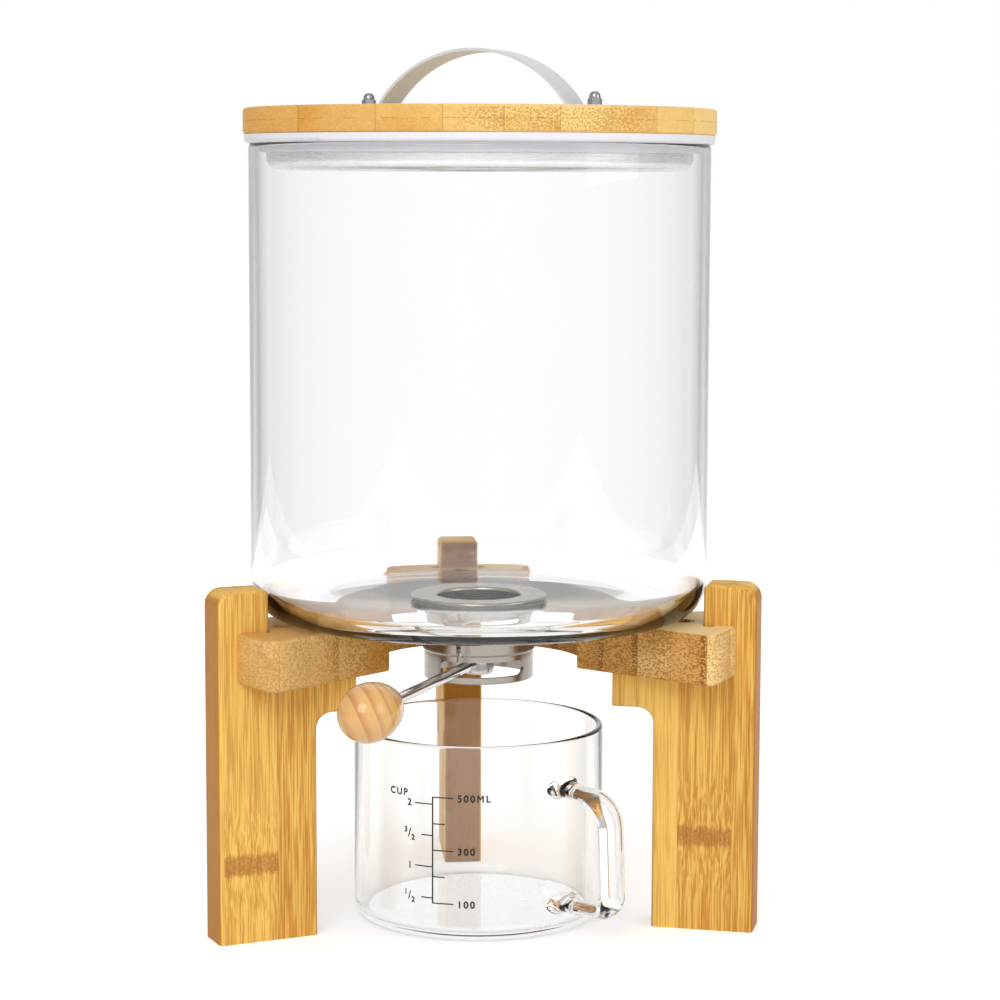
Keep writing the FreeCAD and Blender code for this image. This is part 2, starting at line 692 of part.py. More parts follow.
def handle_strap():
    """Bent strip: an arch with a flat foot at each end."""
    strip = outline(strap_side(STRAP_T) + strap_side(0)[::-1]).extrude(V(0, STRAP_W, 0))
    strip.translate(V(0, -STRAP_W / 2, 0))
    corners = []
    for edge in strip.Edges:
        box = edge.BoundBox
        if box.XLength < 0.01 and box.YLength < 0.01 and abs(abs(box.XMin) - STRAP_TOE) < 0.01:
            corners.append(edge)
    strip = turned(strip.makeFillet(3.0, corners), STRAP_TURN)
    return strip.cut(at_bolts(disc(BOLT_R + BOLT_FIT, LID_TOP - 1, STRAP_T + 2)))


def handle_bolt():
    """Bolt from under the lid, with a low round head."""
    top = ACORN_Z + ACORN_HEX_H + 1.0
    return revolved([
        (0, LID_Z - BOLT_HEAD_H, 0),
        (BOLT_HEAD_R, LID_Z - BOLT_HEAD_H, 0.8),
        (BOLT_HEAD_R, LID_Z, 0),
        (BOLT_R, LID_Z, 0),
        (BOLT_R, top, 0.3),
        (0, top, 0),
    ])


def acorn_nut():
    """Domed nut that closes over the bolt's end."""
    hexa = hexagon(ACORN_FLATS, ACORN_Z, ACORN_HEX_H)
    corner_r = ACORN_FLATS / math.sqrt(3)
    cone = Part.makeCone(corner_r + ACORN_HEX_H, corner_r - 0.45, ACORN_HEX_H, V(0, 0, ACORN_Z))
    dome_z = ACORN_Z + ACORN_HEX_H + 0.6
    dome = disc(ACORN_DOME_R, ACORN_Z, ACORN_HEX_H + 0.6).fuse(Part.makeSphere(ACORN_DOME_R, V(0, 0, dome_z)))
    nut = hexa.common(cone).fuse(dome.common(disc(corner_r, ACORN_Z, 4 * ACORN_DOME_R)))
    return nut.removeSplitter().cut(disc(BOLT_R + THREAD_FIT, ACORN_Z - 1, ACORN_HEX_H + 2.1))


def handle_washer():
    return tube(HANDLE_WASHER_R, BOLT_R + BOLT_FIT, FOOT_TOP, HANDLE_WASHER_T)


# ---- measuring cup
def measuring_cup():
    rim = CUP_WALL * 0.49
    return revolved([
        (0, 0, 0),
        (CUP_R, 0, CUP_HEEL_R),
        (CUP_R, CUP_H, rim),
        (CUP_R - CUP_WALL, CUP_H, rim),
        (CUP_R - CUP_WALL, CUP_BASE, CUP_HEEL_R - CUP_WALL),
        (0, CUP_BASE, 0),
    ])


def oval(radius, z, grow):
    """Handle section at one radius, upright across X."""
    wide = HANDLE_W / 2 * grow
    thin = HANDLE_T / 2 * grow
    centre = V(radius, 0, z)
    ellipse = Part.Ellipse(centre + V(0, wide, 0), centre + V(0, 0, thin), centre)
    return Part.Wire(ellipse.toShape())


def cup_handle():
    """Oval glass loop fused to the cup at two flared pads."""
    root = CUP_R - CUP_WALL / 2
    path = Part.Wire(rounded_edges([
        (V(root, 0, HANDLE_TOP), 0),
        (V(HANDLE_REACH - HANDLE_LEAN, 0, HANDLE_TOP - HANDLE_FALL), HANDLE_TOP_R),
        (V(HANDLE_REACH, 0, HANDLE_LOW + HANDLE_LIFT), HANDLE_LOW_R),
        (V(root, 0, HANDLE_LOW), 0),
    ], False))
    loop = path.makePipeShell([oval(root, HANDLE_TOP, 1)], True, True)
    pad_end = CUP_R + HANDLE_PAD
    for z in (HANDLE_TOP, HANDLE_LOW):
        loop = loop.fuse(Part.makeLoft([oval(root, z, HANDLE_PAD_GROW), oval(pad_end, z, 1.04)], True, True))
    loop = loop.cut(disc(CUP_R, -1, CUP_H + 2))
    return turned(loop, HANDLE_TURN)


def build():
    os.makedirs("parts", exist_ok=True)
    for name, angle in ARM_ANGLES.items():
        save(name, leg_board(angle))
    save("stand_plate", stand_plate())
    save("stand_screws", stand_screws())
    save("jar", jar())
    save("inlet_flange", inlet_flange())
    save("inner_gasket", gasket(JAR_FLOOR))
    save("outer_gasket", gasket(NUT_TOP))
    save("clamp_nut", clamp_nut())
    save("valve_body", valve_body())
    save("gate_plate", gate_plate())
    save("pivot_washer", pivot_washer())
    save("shutter", shutter())
    save("pivot_screw", pivot_screw())
    save("lever_rod", lever_rod())
    save("lever_knob", lever_knob())
    save("knob_insert", knob_insert())
    save("lid_seal", lid_seal())
    save("lid_plug", lid_plug())
    save("lid_disc", lid_disc())
    save("handle_strap", handle_strap())
    save("handle_bolts", Part.makeCompound(at_bolts(handle_bolt())))
    save("handle_washers", Part.makeCompound(at_bolts(handle_washer())))
    save("acorn_nuts", Part.makeCompound(at_bolts(acorn_nut())))
    save("measuring_cup", measuring_cup())
    save("cup_handle", cup_handle())


build()
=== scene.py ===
import math
from dataclasses import dataclass

import bpy
from mathutils import Matrix, Vector


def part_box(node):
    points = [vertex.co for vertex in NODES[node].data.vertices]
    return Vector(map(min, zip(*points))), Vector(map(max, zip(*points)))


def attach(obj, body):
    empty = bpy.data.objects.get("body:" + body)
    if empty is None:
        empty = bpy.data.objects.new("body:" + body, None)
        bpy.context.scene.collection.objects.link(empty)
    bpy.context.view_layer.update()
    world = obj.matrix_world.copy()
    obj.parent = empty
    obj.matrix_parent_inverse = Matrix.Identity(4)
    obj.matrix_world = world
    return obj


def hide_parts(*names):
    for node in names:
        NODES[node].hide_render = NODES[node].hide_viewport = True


bl_info = {
    "name": "Rice dispenser dressing",
    "version": (1, 0, 0),
    "blender": (4, 5, 0),
    "location": "3D View > Sidebar > Dispenser",
    "description": "Gives the rice dispenser its glass, bamboo, steel and printed scale",
    "category": "Object",
}

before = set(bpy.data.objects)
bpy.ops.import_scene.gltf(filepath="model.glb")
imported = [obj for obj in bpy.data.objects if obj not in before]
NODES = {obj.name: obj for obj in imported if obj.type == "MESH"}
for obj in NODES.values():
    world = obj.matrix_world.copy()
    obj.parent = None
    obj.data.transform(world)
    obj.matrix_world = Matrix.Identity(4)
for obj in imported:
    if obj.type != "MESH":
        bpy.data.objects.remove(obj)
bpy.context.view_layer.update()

# Directions are in degrees from +X about the jar's axis, lengths in metres
LEVER_DIRECTION = -116.0
STRAP_DIRECTION = -28.0
HANDLE_DIRECTION = -53.5
LID_GRAIN_DIRECTION = 14.0
KNOB_HEART = (0.019, 0.121)  # middle of the tree, in the turned Y and Z
GLUE_REACH = 0.20e-3  # half a line of glue, with its soft edge
STRIP_SHIFT, PLY_SHIFT = 0.5, 0.37  # of the nodes, as shares of their spacing
HOLE_EDGE = 0.038  # rounding of the jar's hole, as a share of its radius
HANDLE_STEP = 0.5e-3  # length of a facet along the handle
FLARE_ENDS = (5.5e-3, 0.8e-3)  # where the handle's flare starts and is full

CUP = 236.6  # millilitres in one cup of the scale
# Ticks: first volume, step, count, length, and 1 to the right of the stem or -1 to the left
TICKS = (
    (100, 200, 3, 9.0e-3, 1),
    (200, 200, 2, 5.2e-3, 1),
    (CUP, CUP, 2, 8.0e-3, -1),
    (CUP / 2, CUP, 2, 5.0e-3, -1),
)
# Labels: words, place beside the stem, volume, and size and lift as shares of the text's size
LABELS = (
    ("500ML", 10.9e-3, 500, 1.0, 0.0),
    ("300", 10.9e-3, 300, 1.0, 0.0),
    ("100", 10.9e-3, 100, 1.0, 0.0),
    ("CUP", -21.6e-3, 500, 1.0, 0.25),
    ("2", -12.2e-3, 2 * CUP, 1.0, 0.0),
    ("1", -12.0e-3, CUP, 1.0, 0.0),
    ("3", -13.9e-3, 1.5 * CUP, 0.8, 0.38),
    ("/", -11.9e-3, 1.5 * CUP, 1.25, 0.08),
    ("2", -10.2e-3, 1.5 * CUP, 0.8, -0.38),
    ("1", -13.9e-3, 0.5 * CUP, 0.8, 0.38),
    ("/", -11.9e-3, 0.5 * CUP, 1.25, 0.08),
    ("2", -10.2e-3, 0.5 * CUP, 0.8, -0.38),
)
LETTER_SPACING = 1.32
HALF_CAPITAL = 0.36  # half a capital's height, in sizes of the text
STEM = (100, 500)  # volumes at its ends
INK_GAP = 0.01e-3  # between the glass and the ink

# Lamps: place and side
KEY_LAMP = ((-0.55, -1.55, 1.30), 1.1)
FILL_LAMP = ((1.35, -0.75, 0.8), 0.9)
LAMPS_AIM_AT = (0.0, 0.0, 0.18)
FLOOR_HALF = 1.0


@dataclass
class Board:
    """How the wood of a bamboo piece is laid up, and how strong its features are."""

    strip: float  # width of a strip
    joint: float  # place of a joint, across the grain
    node_at: float  # place of the marked strip's node, along it
    top: tuple  # paler colour of the top, painted light from above
    turn: float = 0.0  # direction across the grain
    upright: bool = False  # the fibres run up, not level
    ply: float = 0.5  # thickness of a layer
    seam: float = -0.25  # place of one seam between layers
    marked: int = 0  # strip whose node is at node_at
    near: int = 0  # layer whose node is there
    marks: float = 0.0  # dark marks at the nodes
    contrast: float = 0.7  # of the fibres
    lines: float = 0.12  # glue between strips and layers
    rind: float = 0.0  # painted shade, darkening the outer narrow side faces
    ends: tuple = (0.5, 0.9)  # how square a face is to the fibres, for end grain
    porous: float = 0.85  # how far the ends take their own colour
    pores: float = 1.0e-3  # distance between pores
    pore: float = 0.2  # darkness of a pore
    aged: tuple = (0.5, 0.6)  # place past which the strips are darker; on the plate this is painted shade towards the hub, under the jar
    fresh_end: float = 0.0  # paleness of the last strip
    toasted: float = 0.0  # warmer tone towards one side
    toasted_from: tuple = (0.0, 1.0)  # where that starts and is full
    sanded: float = 0.0  # paleness of the top, painted light from above


# The three upright boards
LEGS = {
    "leg_back": {"turn": 90.0, "joint": 0.1100, "node_at": 0.060, "near": 1},
    "leg_left": {"turn": 199.0, "joint": 0.0985, "node_at": 0.034, "near": 1},
    "leg_right": {"turn": -19.0, "joint": 0.1151, "node_at": 0.0415, "marked": -1, "near": -1},
}


def linear(code):
    """Linear colour of a hex code such as "C88A45"."""
    channels = [int(code[i:i + 2], 16) / 255 for i in (0, 2, 4)]
    return [c / 12.92 if c <= 0.04045 else ((c + 0.055) / 1.055) ** 2.4 for c in channels]


# ---- node trees
class Value:
    """A socket of a node tree. Arithmetic with it adds Math nodes to the tree."""

    def __init__(self, nodes, socket):
        self.nodes = nodes
        self.socket = socket

    def __add__(self, other):
        return self.nodes.math("ADD", self, other)

    __radd__ = __add__

    def __sub__(self, other):
        return self.nodes.math("SUBTRACT", self, other)

    def __rsub__(self, other):
        return self.nodes.math("SUBTRACT", other, self)

    def __mul__(self, other):
        return self.nodes.math("MULTIPLY", self, other)

    __rmul__ = __mul__

    def __truediv__(self, other):
        return self.nodes.math("DIVIDE", self, other)

    def __rtruediv__(self, other):
        return self.nodes.math("DIVIDE", other, self)

    def __abs__(self):
        return self.nodes.math("ABSOLUTE", self)

    def floor(self):
        return self.nodes.math("FLOOR", self)

    def part(self):
        """What is left of the value over its whole number."""
        return self.nodes.math("FRACT", self)

    def rise(self, low, high):
        """0 below low, 1 above high, a smooth step between; the other way round if low > high."""
        settings = {"interpolation_type": "SMOOTHSTEP"}
        ends = {"From Min": low, "From Max": high}
        if low > high:
            ends = {"From Min": high, "From Max": low, "To Min": 1.0, "To Max": 0.0}
        return self.nodes.add("ShaderNodeMapRange", settings, {"Value": self, **ends})


class Nodes:
    """Adds nodes to a tree: their settings first, then the values or links of their sockets."""

    def __init__(self, tree):
        self.tree = tree

    def add(self, kind, settings=None, sockets=None, out=0):
        node = self.tree.nodes.new(kind)
        for name, setting in (settings or {}).items():
            if name == "items":
                while len(node.index_switch_items) < setting:
                    node.index_switch_items.new()
            else:
                setattr(node, name, setting)
        for key, given in (sockets or {}).items():
            for value in given if isinstance(given, list) else [given]:
                if isinstance(value, Value):
                    self.tree.links.new(value.socket, node.inputs[key])
                else:
                    node.inputs[key].default_value = value
        return Value(self, node.outputs[out])

    def math(self, operation, *values):
        return self.add("ShaderNodeMath", {"operation": operation}, dict(enumerate(values)))

    def split(self, vector):
        """The X, Y and Z of a vector."""
        first = self.add("ShaderNodeSeparateXYZ", {}, {"Vector": vector})
        node = first.socket.node
        return [Value(self, node.outputs[i]) for i in range(3)]

    def join(self, x, y, z):
        return self.add("ShaderNodeCombineXYZ", {}, {"X": x, "Y": y, "Z": z})

    def length(self, vector):
        return self.add("ShaderNodeVectorMath", {"operation": "LENGTH"}, {0: vector}, "Value")

    def mix(self, factor, a, b):
        """Colour a, or colour b where the factor is 1."""
        a, b = [c if isinstance(c, Value) else (*c[:3], 1.0) for c in (a, b)]
        return self.add("ShaderNodeMix", {"data_type": "RGBA"}, {0: factor, 6: a, 7: b}, 2)

    def noise(self, vector, scale, detail=2.0, roughness=0.5):
        sockets = {"Vector": vector, "Scale": scale, "Detail": detail, "Roughness": roughness}
        return self.add("ShaderNodeTexNoise", {}, sockets)

    def chance(self, vector):
        """A random number for each whole-number vector."""
        return self.add("ShaderNodeTexWhiteNoise", {"noise_dimensions": "3D"}, {"Vector": vector})


class Finish(Nodes):
    """A new material. Its place is the object's coordinates, turned about Z by the given angle."""

    def __init__(self, name, turn=0.0, **constants):
        self.material = bpy.data.materials.new(name + "_finish")
        self.material.use_nodes = True
        super().__init__(self.material.node_tree)
        self.shader = self.tree.nodes["Principled BSDF"]
        self.put(**constants)
        self.turn = (0, 0, -math.radians(turn))

    def put(self, **sockets):
        """Sets or links the shader's sockets, named with underscores for spaces."""
        for name, value in sockets.items():
            socket = self.shader.inputs[name.replace("_", " ")]
            if isinstance(value, Value):
                self.tree.links.new(value.socket, socket)
            elif isinstance(value, (list, tuple)):
                socket.default_value = (*value[:3], 1.0)
            else:
                socket.default_value = value

    def place(self, output="Object"):
        spot = self.add("ShaderNodeTexCoord", {}, {}, output)
        return self.add("ShaderNodeMapping", {}, {"Vector": spot, "Rotation": self.turn})

    def cells(self, place, counts, detail=1.0, roughness=0.5):
        """Noise with so many cells a metre along each line of a place."""
        spot = self.join(*[line * count for line, count in zip(place, counts)])
        return self.noise(spot, 1.0, detail, roughness)

    def cover(self, colour, rough, height, depth, strength=1.0):
        """Gives the material its colour, roughness and relief."""
        sockets = {"Height": height, "Distance": depth, "Strength": strength}
        relief = self.add("ShaderNodeBump", {}, sockets)
        self.put(Base_Color=colour, Roughness=rough, Normal=relief)
        return self.material


# ---- finishes
def joint_line(part, width, core):
    """A fine line where one strip or layer of that width meets the next."""
    return abs(part - 0.5).rise(0.5 - GLUE_REACH / width, 0.5 - core / width)


def bamboo(name, look, board, light, dark, end):
    """Laminated bamboo: strips side by side in layers, fibres, pores on the ends, dark nodes."""
    finish = Finish(name, board.turn, Specular_IOR_Level=0.08)
    place = finish.split(finish.place())
    facing = finish.split(finish.place("Normal"))
    top_on = facing[2].rise(0.80, 0.97)
    if not board.upright:
        place, facing = [(x, z, y) for x, y, z in (place, facing)]
    across, deep, along = place
    end_on = abs(facing[2]).rise(*board.ends)
    # Narrow side faces, which get a painted shade
    rind = abs(facing[0]).rise(0.55, 0.95) * (1 - end_on)
    edge_on = 1 - abs(facing[1]).rise(0.4, 0.8)

    # Strips and layers, a tone for each, and broken lines of glue between them
    strips = (across - board.joint) / board.strip
    plies = (deep - board.seam) / board.ply
    strip = strips.floor()
    ply = plies.floor()
    tone = finish.chance(finish.join(strip, ply, 3.0))
    other = finish.chance(finish.join(strip, ply, 8.0))
    within = strips.part()
    glue = joint_line(within, board.strip, 0.05e-3)
    broken = finish.cells(place, (160, 160, 160)).rise(0.40, 0.55)
    seam = joint_line(plies.part(), board.ply, 0.04e-3) * broken * edge_on

    # Distance from the nearest node; the nodes shift from strip to strip and layer to layer
    reach = (along - board.node_at) / look.node_gap + (strip - board.marked) * STRIP_SHIFT
    reach = reach + (ply - board.near) * PLY_SHIFT + 0.5
    from_node = abs(reach.part() - 0.5) * look.node_gap
    near_node = from_node.rise(0.040, 0.008)

    # Fibre bundles, long along the strip but short and wavy near a node, and fine hair
    waver = finish.cells(place, (320, 320, 170)) - 0.5
    bent = across + waver * (near_node * 1.2e-3 + 0.14e-3)
    fine = 1 / look.fibre
    beside = bent * fine + tone * 31
    below = deep * fine + other * 17
    short = finish.noise(finish.join(beside, below, along * fine * 0.085), 1.0, 1.0, 0.6)
    long = finish.noise(finish.join(beside, below, along * fine * 0.022), 1.0, 1.0, 0.6)
    fibres = long + (short - long) * near_node
    dash = fibres.rise(0.40, 0.58)
    hair = finish.cells((bent, deep, along), (1900, 1900, 60))

    # The sides
    long_line = finish.cells(place, (420, 420, 6), 2.0)
    cloud = finish.cells(place, (55, 55, 5))
    # Darker strips past a place; on the plate this is painted shade under the jar
    aged = across.rise(*board.aged)
    spread = (tone - 0.5) * look.strip_contrast + (cloud - 0.5) * 0.4 + aged * 0.35
    lines = (dash - 0.5) * 0.42 + (hair - 0.5) * 0.40 + (long_line - 0.5) * 0.6
    shade = lines * board.contrast + spread + 0.41
    side = finish.mix(shade.rise(0.0, 1.1), light, dark)

    # The ends, with dark pores in columns beside some joints of the darker strips
    pores = finish.cells(place, (1 / board.pores, 1 / board.pores, 70), 1.0, 0.45)
    crowd = (within - 0.55) * 0.10 + (cloud - 0.5) * 0.14
    pore = (pores + crowd).rise(0.45, 0.56)
    aged = aged * (1 - across.rise(board.joint, board.joint + 3e-4) * board.fresh_end)
    column = within.rise(0.78, 0.86) * within.rise(1.0, 0.95) * tone.rise(0.40, 0.50)
    column = column * aged * board.fresh_end
    end_tone = (cloud - 0.5) * 1.4 + (tone - 0.5) * 0.6 + aged * 0.6 + 0.15
    grain_end = finish.mix(end_tone.rise(0.0, 1.0), light, end)
    grain_end = finish.mix(pore * (aged * 0.30 + board.pore), grain_end, look.pore_colour)
    grain_end = finish.mix(pores.rise(0.42, 0.50) * column * 0.75, grain_end, look.dark_pore)

    # All faces together, then glue and nodes
    body = finish.mix(end_on * board.porous, side, grain_end)
    # Painted shade on the narrow side faces
    body = finish.mix(rind * board.rind, body, look.rind)
    # Painted light: faces that point up are paler
    body = finish.mix(top_on * board.sanded, body, board.top)
    toasted = across.rise(*board.toasted_from) * (1 - end_on * 0.5) * board.toasted
    body = finish.mix(toasted, body, look.toasted)
    body = finish.mix(glue * board.lines, body, look.glue)
    body = finish.mix(seam * board.lines * 1.2, body, look.glue)
    ragged = (finish.cells(place, (900, 900, 260), 2.0) - 0.5) * 6e-3
    mark = (from_node + ragged).rise(5.6e-3, 3.0e-3) * (1 - end_on) * board.marks
    mottled = finish.cells(place, (1300, 1300, 900), 2.0)
    body = finish.mix(mark * (mottled.rise(0.30, 0.65) * 0.35 + 0.45), body, look.node)
    body = finish.mix(mark * mottled.rise(0.60, 0.72) * 0.6, body, look.pore_colour)

    porous = pore * end_on
    rough = look.gloss + (hair - 0.5) * 0.16 + porous * 0.10
    raised = fibres * 0.9 + hair * 0.3 + mark * mottled * 0.8
    sunk = porous * 0.8 + glue * 0.5 + seam * 0.6
    return finish.cover(body, rough, raised - sunk, 0.08e-3)


def lacquered_wood(look):
    """Turned hardwood under clear lacquer: growth layers cut by the round of the knob."""
    finish = Finish("lacquered_wood", LEVER_DIRECTION, Coat_Weight=0.9, Coat_Roughness=0.04)
    heart_y, heart_z = KNOB_HEART
    place = x, y, z = finish.split(finish.place())
    bend = finish.cells(place, (26, 26, 26))
    off_heart = finish.join(y - heart_y, z - heart_z, x * 0.35)
    from_heart = finish.length(off_heart)
    layer = from_heart * 340 + (bend - 0.5) * 1.1
    ring = layer.part()
    late = ring.rise(0.35, 0.92) * ring.rise(1.0, 0.95)
    tone = finish.chance(finish.join(layer.floor(), 2.0, 5.0))
    fibre = finish.cells(place, (160, 1500, 1500), 2.0)
    soft = finish.cells(place, (40, 40, 40))
    shade = late * 0.60 + (tone - 0.5) * 0.25 + (soft - 0.5) * 0.4 + (fibre - 0.5) * 0.22
    body = finish.mix(shade.rise(-0.1, 0.95), look.knob_light, look.knob_dark)
    height = fibre * 0.2 - late * 0.3
    return finish.cover(body, 0.34 + fibre * 0.12, height, 0.02e-3)


def steel(name, colour, cells, gloss, brushing, turn=0.0, metallic=1.0):
    """Bare steel with fine lines, which have so many cells a metre along X, Y and Z."""
    finish = Finish(name, turn, Metallic=metallic)
    place = finish.split(finish.place())
    lines = finish.cells(place, cells, 3.0, 0.6)
    patch = finish.cells(place, (45, 45, 45), 2.0)
    worn = (lines - 0.5) * brushing * 2 + (patch - 0.5) * 0.2 + 0.5
    tone = finish.mix(worn, [c * 0.86 for c in colour], colour)
    rough = gloss + (lines - 0.5) * brushing * 0.35 + (patch - 0.5) * 0.05
    return finish.cover(tone, rough, lines, brushing * 0.03e-3)


def glass(name, tint):
    """Clear glass with the faint waviness of a blown wall and a trace of handling on it."""
    finish = Finish(name, Transmission_Weight=1.0, IOR=1.47)
    place = finish.place()
    wave = finish.noise(place, 16.0, 1.0)
    smear = finish.noise(place, 34.0, 2.0).rise(0.45, 0.8)
    colour = finish.mix(smear * 0.5, tint, [c * 0.992 for c in tint])
    return finish.cover(colour, smear * 0.012, wave, 0.05e-3, 0.5)


def soft_rubber(name, colour, shine, through):
    """Moulded silicone: slightly cloudy and finely matt."""
    finish = Finish(name, Transmission_Weight=through, Subsurface_Weight=0.15,
                    Subsurface_Scale=0.004)
    place = finish.place()
    cloud = finish.noise(place, 60.0, 2.0)
    skin = finish.noise(place, 2400.0, 2.0)
    tone = finish.mix(cloud, colour, [c * 0.93 for c in colour])
    return finish.cover(tone, shine + (skin - 0.5) * 0.12, skin, 0.015e-3)


def moulded_plastic(name, colour):
    """Hard plastic with the fine skin of its mould."""
    finish = Finish(name)
    place = finish.place()
    skin = finish.noise(place, 1500.0, 2.0)
    cloud = finish.noise(place, 80.0, 1.0)
    tone = finish.mix(cloud, colour, [c * 0.92 for c in colour])
    return finish.cover(tone, 0.42 + (skin - 0.5) * 0.2, skin, 0.02e-3)


def printed_ink(colour):
    """Fired ink: almost black, with tiny thin spots."""
    finish = Finish("printed_ink")
    place = finish.place()
    speckle = finish.noise(place, 3000.0, 2.0).rise(0.62, 0.8)
    tone = finish.mix(speckle * 0.5, colour, [c * 3 for c in colour])
    return finish.cover(tone, 0.34 + speckle * 0.2, speckle, 0.01e-3)


def dress(material, *names):
    """Gives the material to nodes of the frame."""
    for name in names:
        slots = NODES[name].data.materials
        slots.clear()
        slots.append(material)


# ---- geometry node trees
class Shape(Nodes):
    """A Geometry Nodes tree with named inputs, which ends in real, painted geometry."""

    KINDS = {float: "NodeSocketFloat", int: "NodeSocketInt"}

    def __init__(self, name, **inputs):
        tree = bpy.data.node_groups.new(name, "GeometryNodeTree")
        super().__init__(tree)
        self.given = inputs
        for label, value in inputs.items():
            kind = self.KINDS[type(value)]
            socket = tree.interface.new_socket(label, in_out="INPUT", socket_type=kind)
            socket.default_value = value
        tree.interface.new_socket("Paint", in_out="INPUT", socket_type="NodeSocketMaterial")
        tree.interface.new_socket("Geometry", in_out="OUTPUT", socket_type="NodeSocketGeometry")
        self.entry = tree.nodes.new("NodeGroupInput")

    def input(self, label):
        return Value(self, self.entry.outputs[label])

    def end(self, geometry):
        real = self.add("GeometryNodeRealizeInstances", {}, {"Geometry": geometry})
        sockets = {"Geometry": real, "Material": self.input("Paint")}
        painted = self.add("GeometryNodeSetMaterial", {}, sockets)
        leave = self.tree.nodes.new("NodeGroupOutput")
        self.tree.links.new(painted.socket, leave.inputs["Geometry"])

    def join_geometry(self, parts):
        return self.add("GeometryNodeJoinGeometry", {}, {"Geometry": parts})

    def pick(self, values, kind):
        """One of the values for each point, by the point's index."""
        index = self.add("GeometryNodeInputIndex")
        sockets = {"Index": index, **{str(i): value for i, value in enumerate(values)}}
        settings = {"data_type": kind, "items": len(values)}
        return self.add("GeometryNodeIndexSwitch", settings, sockets)

    def outline(self, corners, rounds, cyclic, steps):
        """A curve through corners given as (x, y, z) sockets, each rounded by its radius."""
        line = self.add("GeometryNodeMeshLine", {}, {"Count": len(corners)})
        curve = self.add("GeometryNodeMeshToCurve", {}, {"Mesh": line})
        curve = self.add("GeometryNodeSetSplineCyclic", {}, {"Geometry": curve, "Cyclic": cyclic})
        spots = self.pick([self.join(*corner) for corner in corners], "VECTOR")
        curve = self.add("GeometryNodeSetPosition", {}, {"Geometry": curve, "Position": spots})
        radius = self.pick(rounds, "FLOAT")
        sockets = {"Curve": curve, "Count": steps, "Radius": radius, "Limit Radius": True}
        return self.add("GeometryNodeFilletCurve", {"mode": "POLY"}, sockets)


def turned_wall(**sizes):
    """A glass wall turned round the Z axis, with a floor and, if Hole is above 0, a hole in it."""
    shape = Shape("turned_wall", **sizes)
    outer = shape.input("Radius")
    low = shape.input("Foot")
    high = shape.input("Top")
    thick = shape.input("Wall")
    floor = low + shape.input("Base")
    rim_r = shape.input("Rim")
    inner = 0 - thick
    centre = shape.input("Hole") - outer
    spots = [(centre, low), (0.0, low), (0.0, high), (inner, high), (inner, floor), (centre, floor)]
    corners = [(across, 0 - up, 0.0) for across, up in spots]
    heel_r = shape.input("Heel")
    edge = shape.input("Hole") * HOLE_EDGE
    rounds = [edge, heel_r, rim_r, rim_r, heel_r - thick, edge]
    profile = shape.outline(corners, rounds, True, 14)
    ring_sockets = {"Resolution": shape.input("Segments"), "Radius": outer}
    ring = shape.add("GeometryNodeCurvePrimitiveCircle", {}, ring_sockets)
    ring = shape.add("GeometryNodeSetCurveNormal", {"mode": "Z_UP"}, {"Curve": ring})
    swept = shape.add("GeometryNodeCurveToMesh", {}, {"Curve": ring, "Profile Curve": profile})
    closed = shape.add("GeometryNodeMergeByDistance", {}, {"Geometry": swept, "Distance": 1e-6})
    outward = shape.add("GeometryNodeFlipFaces", {}, {"Mesh": closed})
    shape.end(shape.add("GeometryNodeSetShadeSmooth", {}, {"Geometry": outward}))
    return shape


def settle(thing, modifier):
    """Gives an object the plain mesh that its modifier makes."""
    result = thing.evaluated_get(bpy.context.evaluated_depsgraph_get())
    mesh = bpy.data.meshes.new_from_object(result)
    thing.modifiers.remove(modifier)
    thing.data = mesh
    mesh.name = thing.name
    return mesh


def evaluate(name, shape, paint):
    """The plain mesh that a tree makes, as an object at the origin."""
    thing = bpy.data.objects.new(name, bpy.data.meshes.new(name))
    bpy.context.scene.collection.objects.link(thing)
    modifier = thing.modifiers.new("shape", "NODES")
    modifier.node_group = shape.tree
    wanted = {**shape.given, "Paint": paint}
    for item in shape.tree.interface.items_tree:
        if item.in_out == "INPUT":
            modifier[item.identifier] = wanted[item.name]
    mesh = settle(thing, modifier)
    if not mesh.polygons:
        raise RuntimeError(name + " came out empty")
    mesh.materials.clear()
    mesh.materials.append(paint)
    return thing


def handle_loop(**sizes):
    """An oval loop in the XZ plane, with both ends flared where they join the cup."""
    shape = Shape("handle_loop", **sizes)
    start = shape.input("Root")
    out = shape.input("Reach")
    high = shape.input("Top")
    foot = shape.input("Low")
    corners = [(start, 0.0, high), (out - shape.input("Lean"), 0.0, high - shape.input("Fall")),
               (out, 0.0, foot + shape.input("Lift")), (start, 0.0, foot)]
    rounds = [0.0, shape.input("Top_Bend"), shape.input("Low_Bend"), 0.0]
    path = shape.outline(corners, rounds, False, 24)
    even = {"Curve": path, "Length": HANDLE_STEP}
    path = shape.add("GeometryNodeResampleCurve", {"mode": "LENGTH"}, even)
    upright = {"Curve": path, "Normal": (0.0, 1.0, 0.0)}
    path = shape.add("GeometryNodeSetCurveNormal", {"mode": "FREE"}, upright)
    along = shape.add("GeometryNodeSplineParameter", {}, {}, "Length")
    whole = shape.add("GeometryNodeCurveLength", {}, {"Curve": path})
    to_end = shape.math("MINIMUM", along, whole - along)
    flared = to_end.rise(*FLARE_ENDS) * shape.input("Flare") + 1.0
    ring = shape.add("GeometryNodeCurvePrimitiveCircle", {}, {"Resolution": 40, "Radius": 0.5})
    size = shape.join(shape.input("Width"), shape.input("Thickness"), 1.0)
    oval = shape.add("GeometryNodeTransform", {}, {"Geometry": ring, "Scale": size})
    sockets = {"Curve": path, "Profile Curve": oval, "Scale": flared, "Fill Caps": True}
    swept = shape.add("GeometryNodeCurveToMesh", {}, sockets)
    shape.end(shape.add("GeometryNodeSetShadeSmooth", {}, {"Geometry": swept}))
    return shape


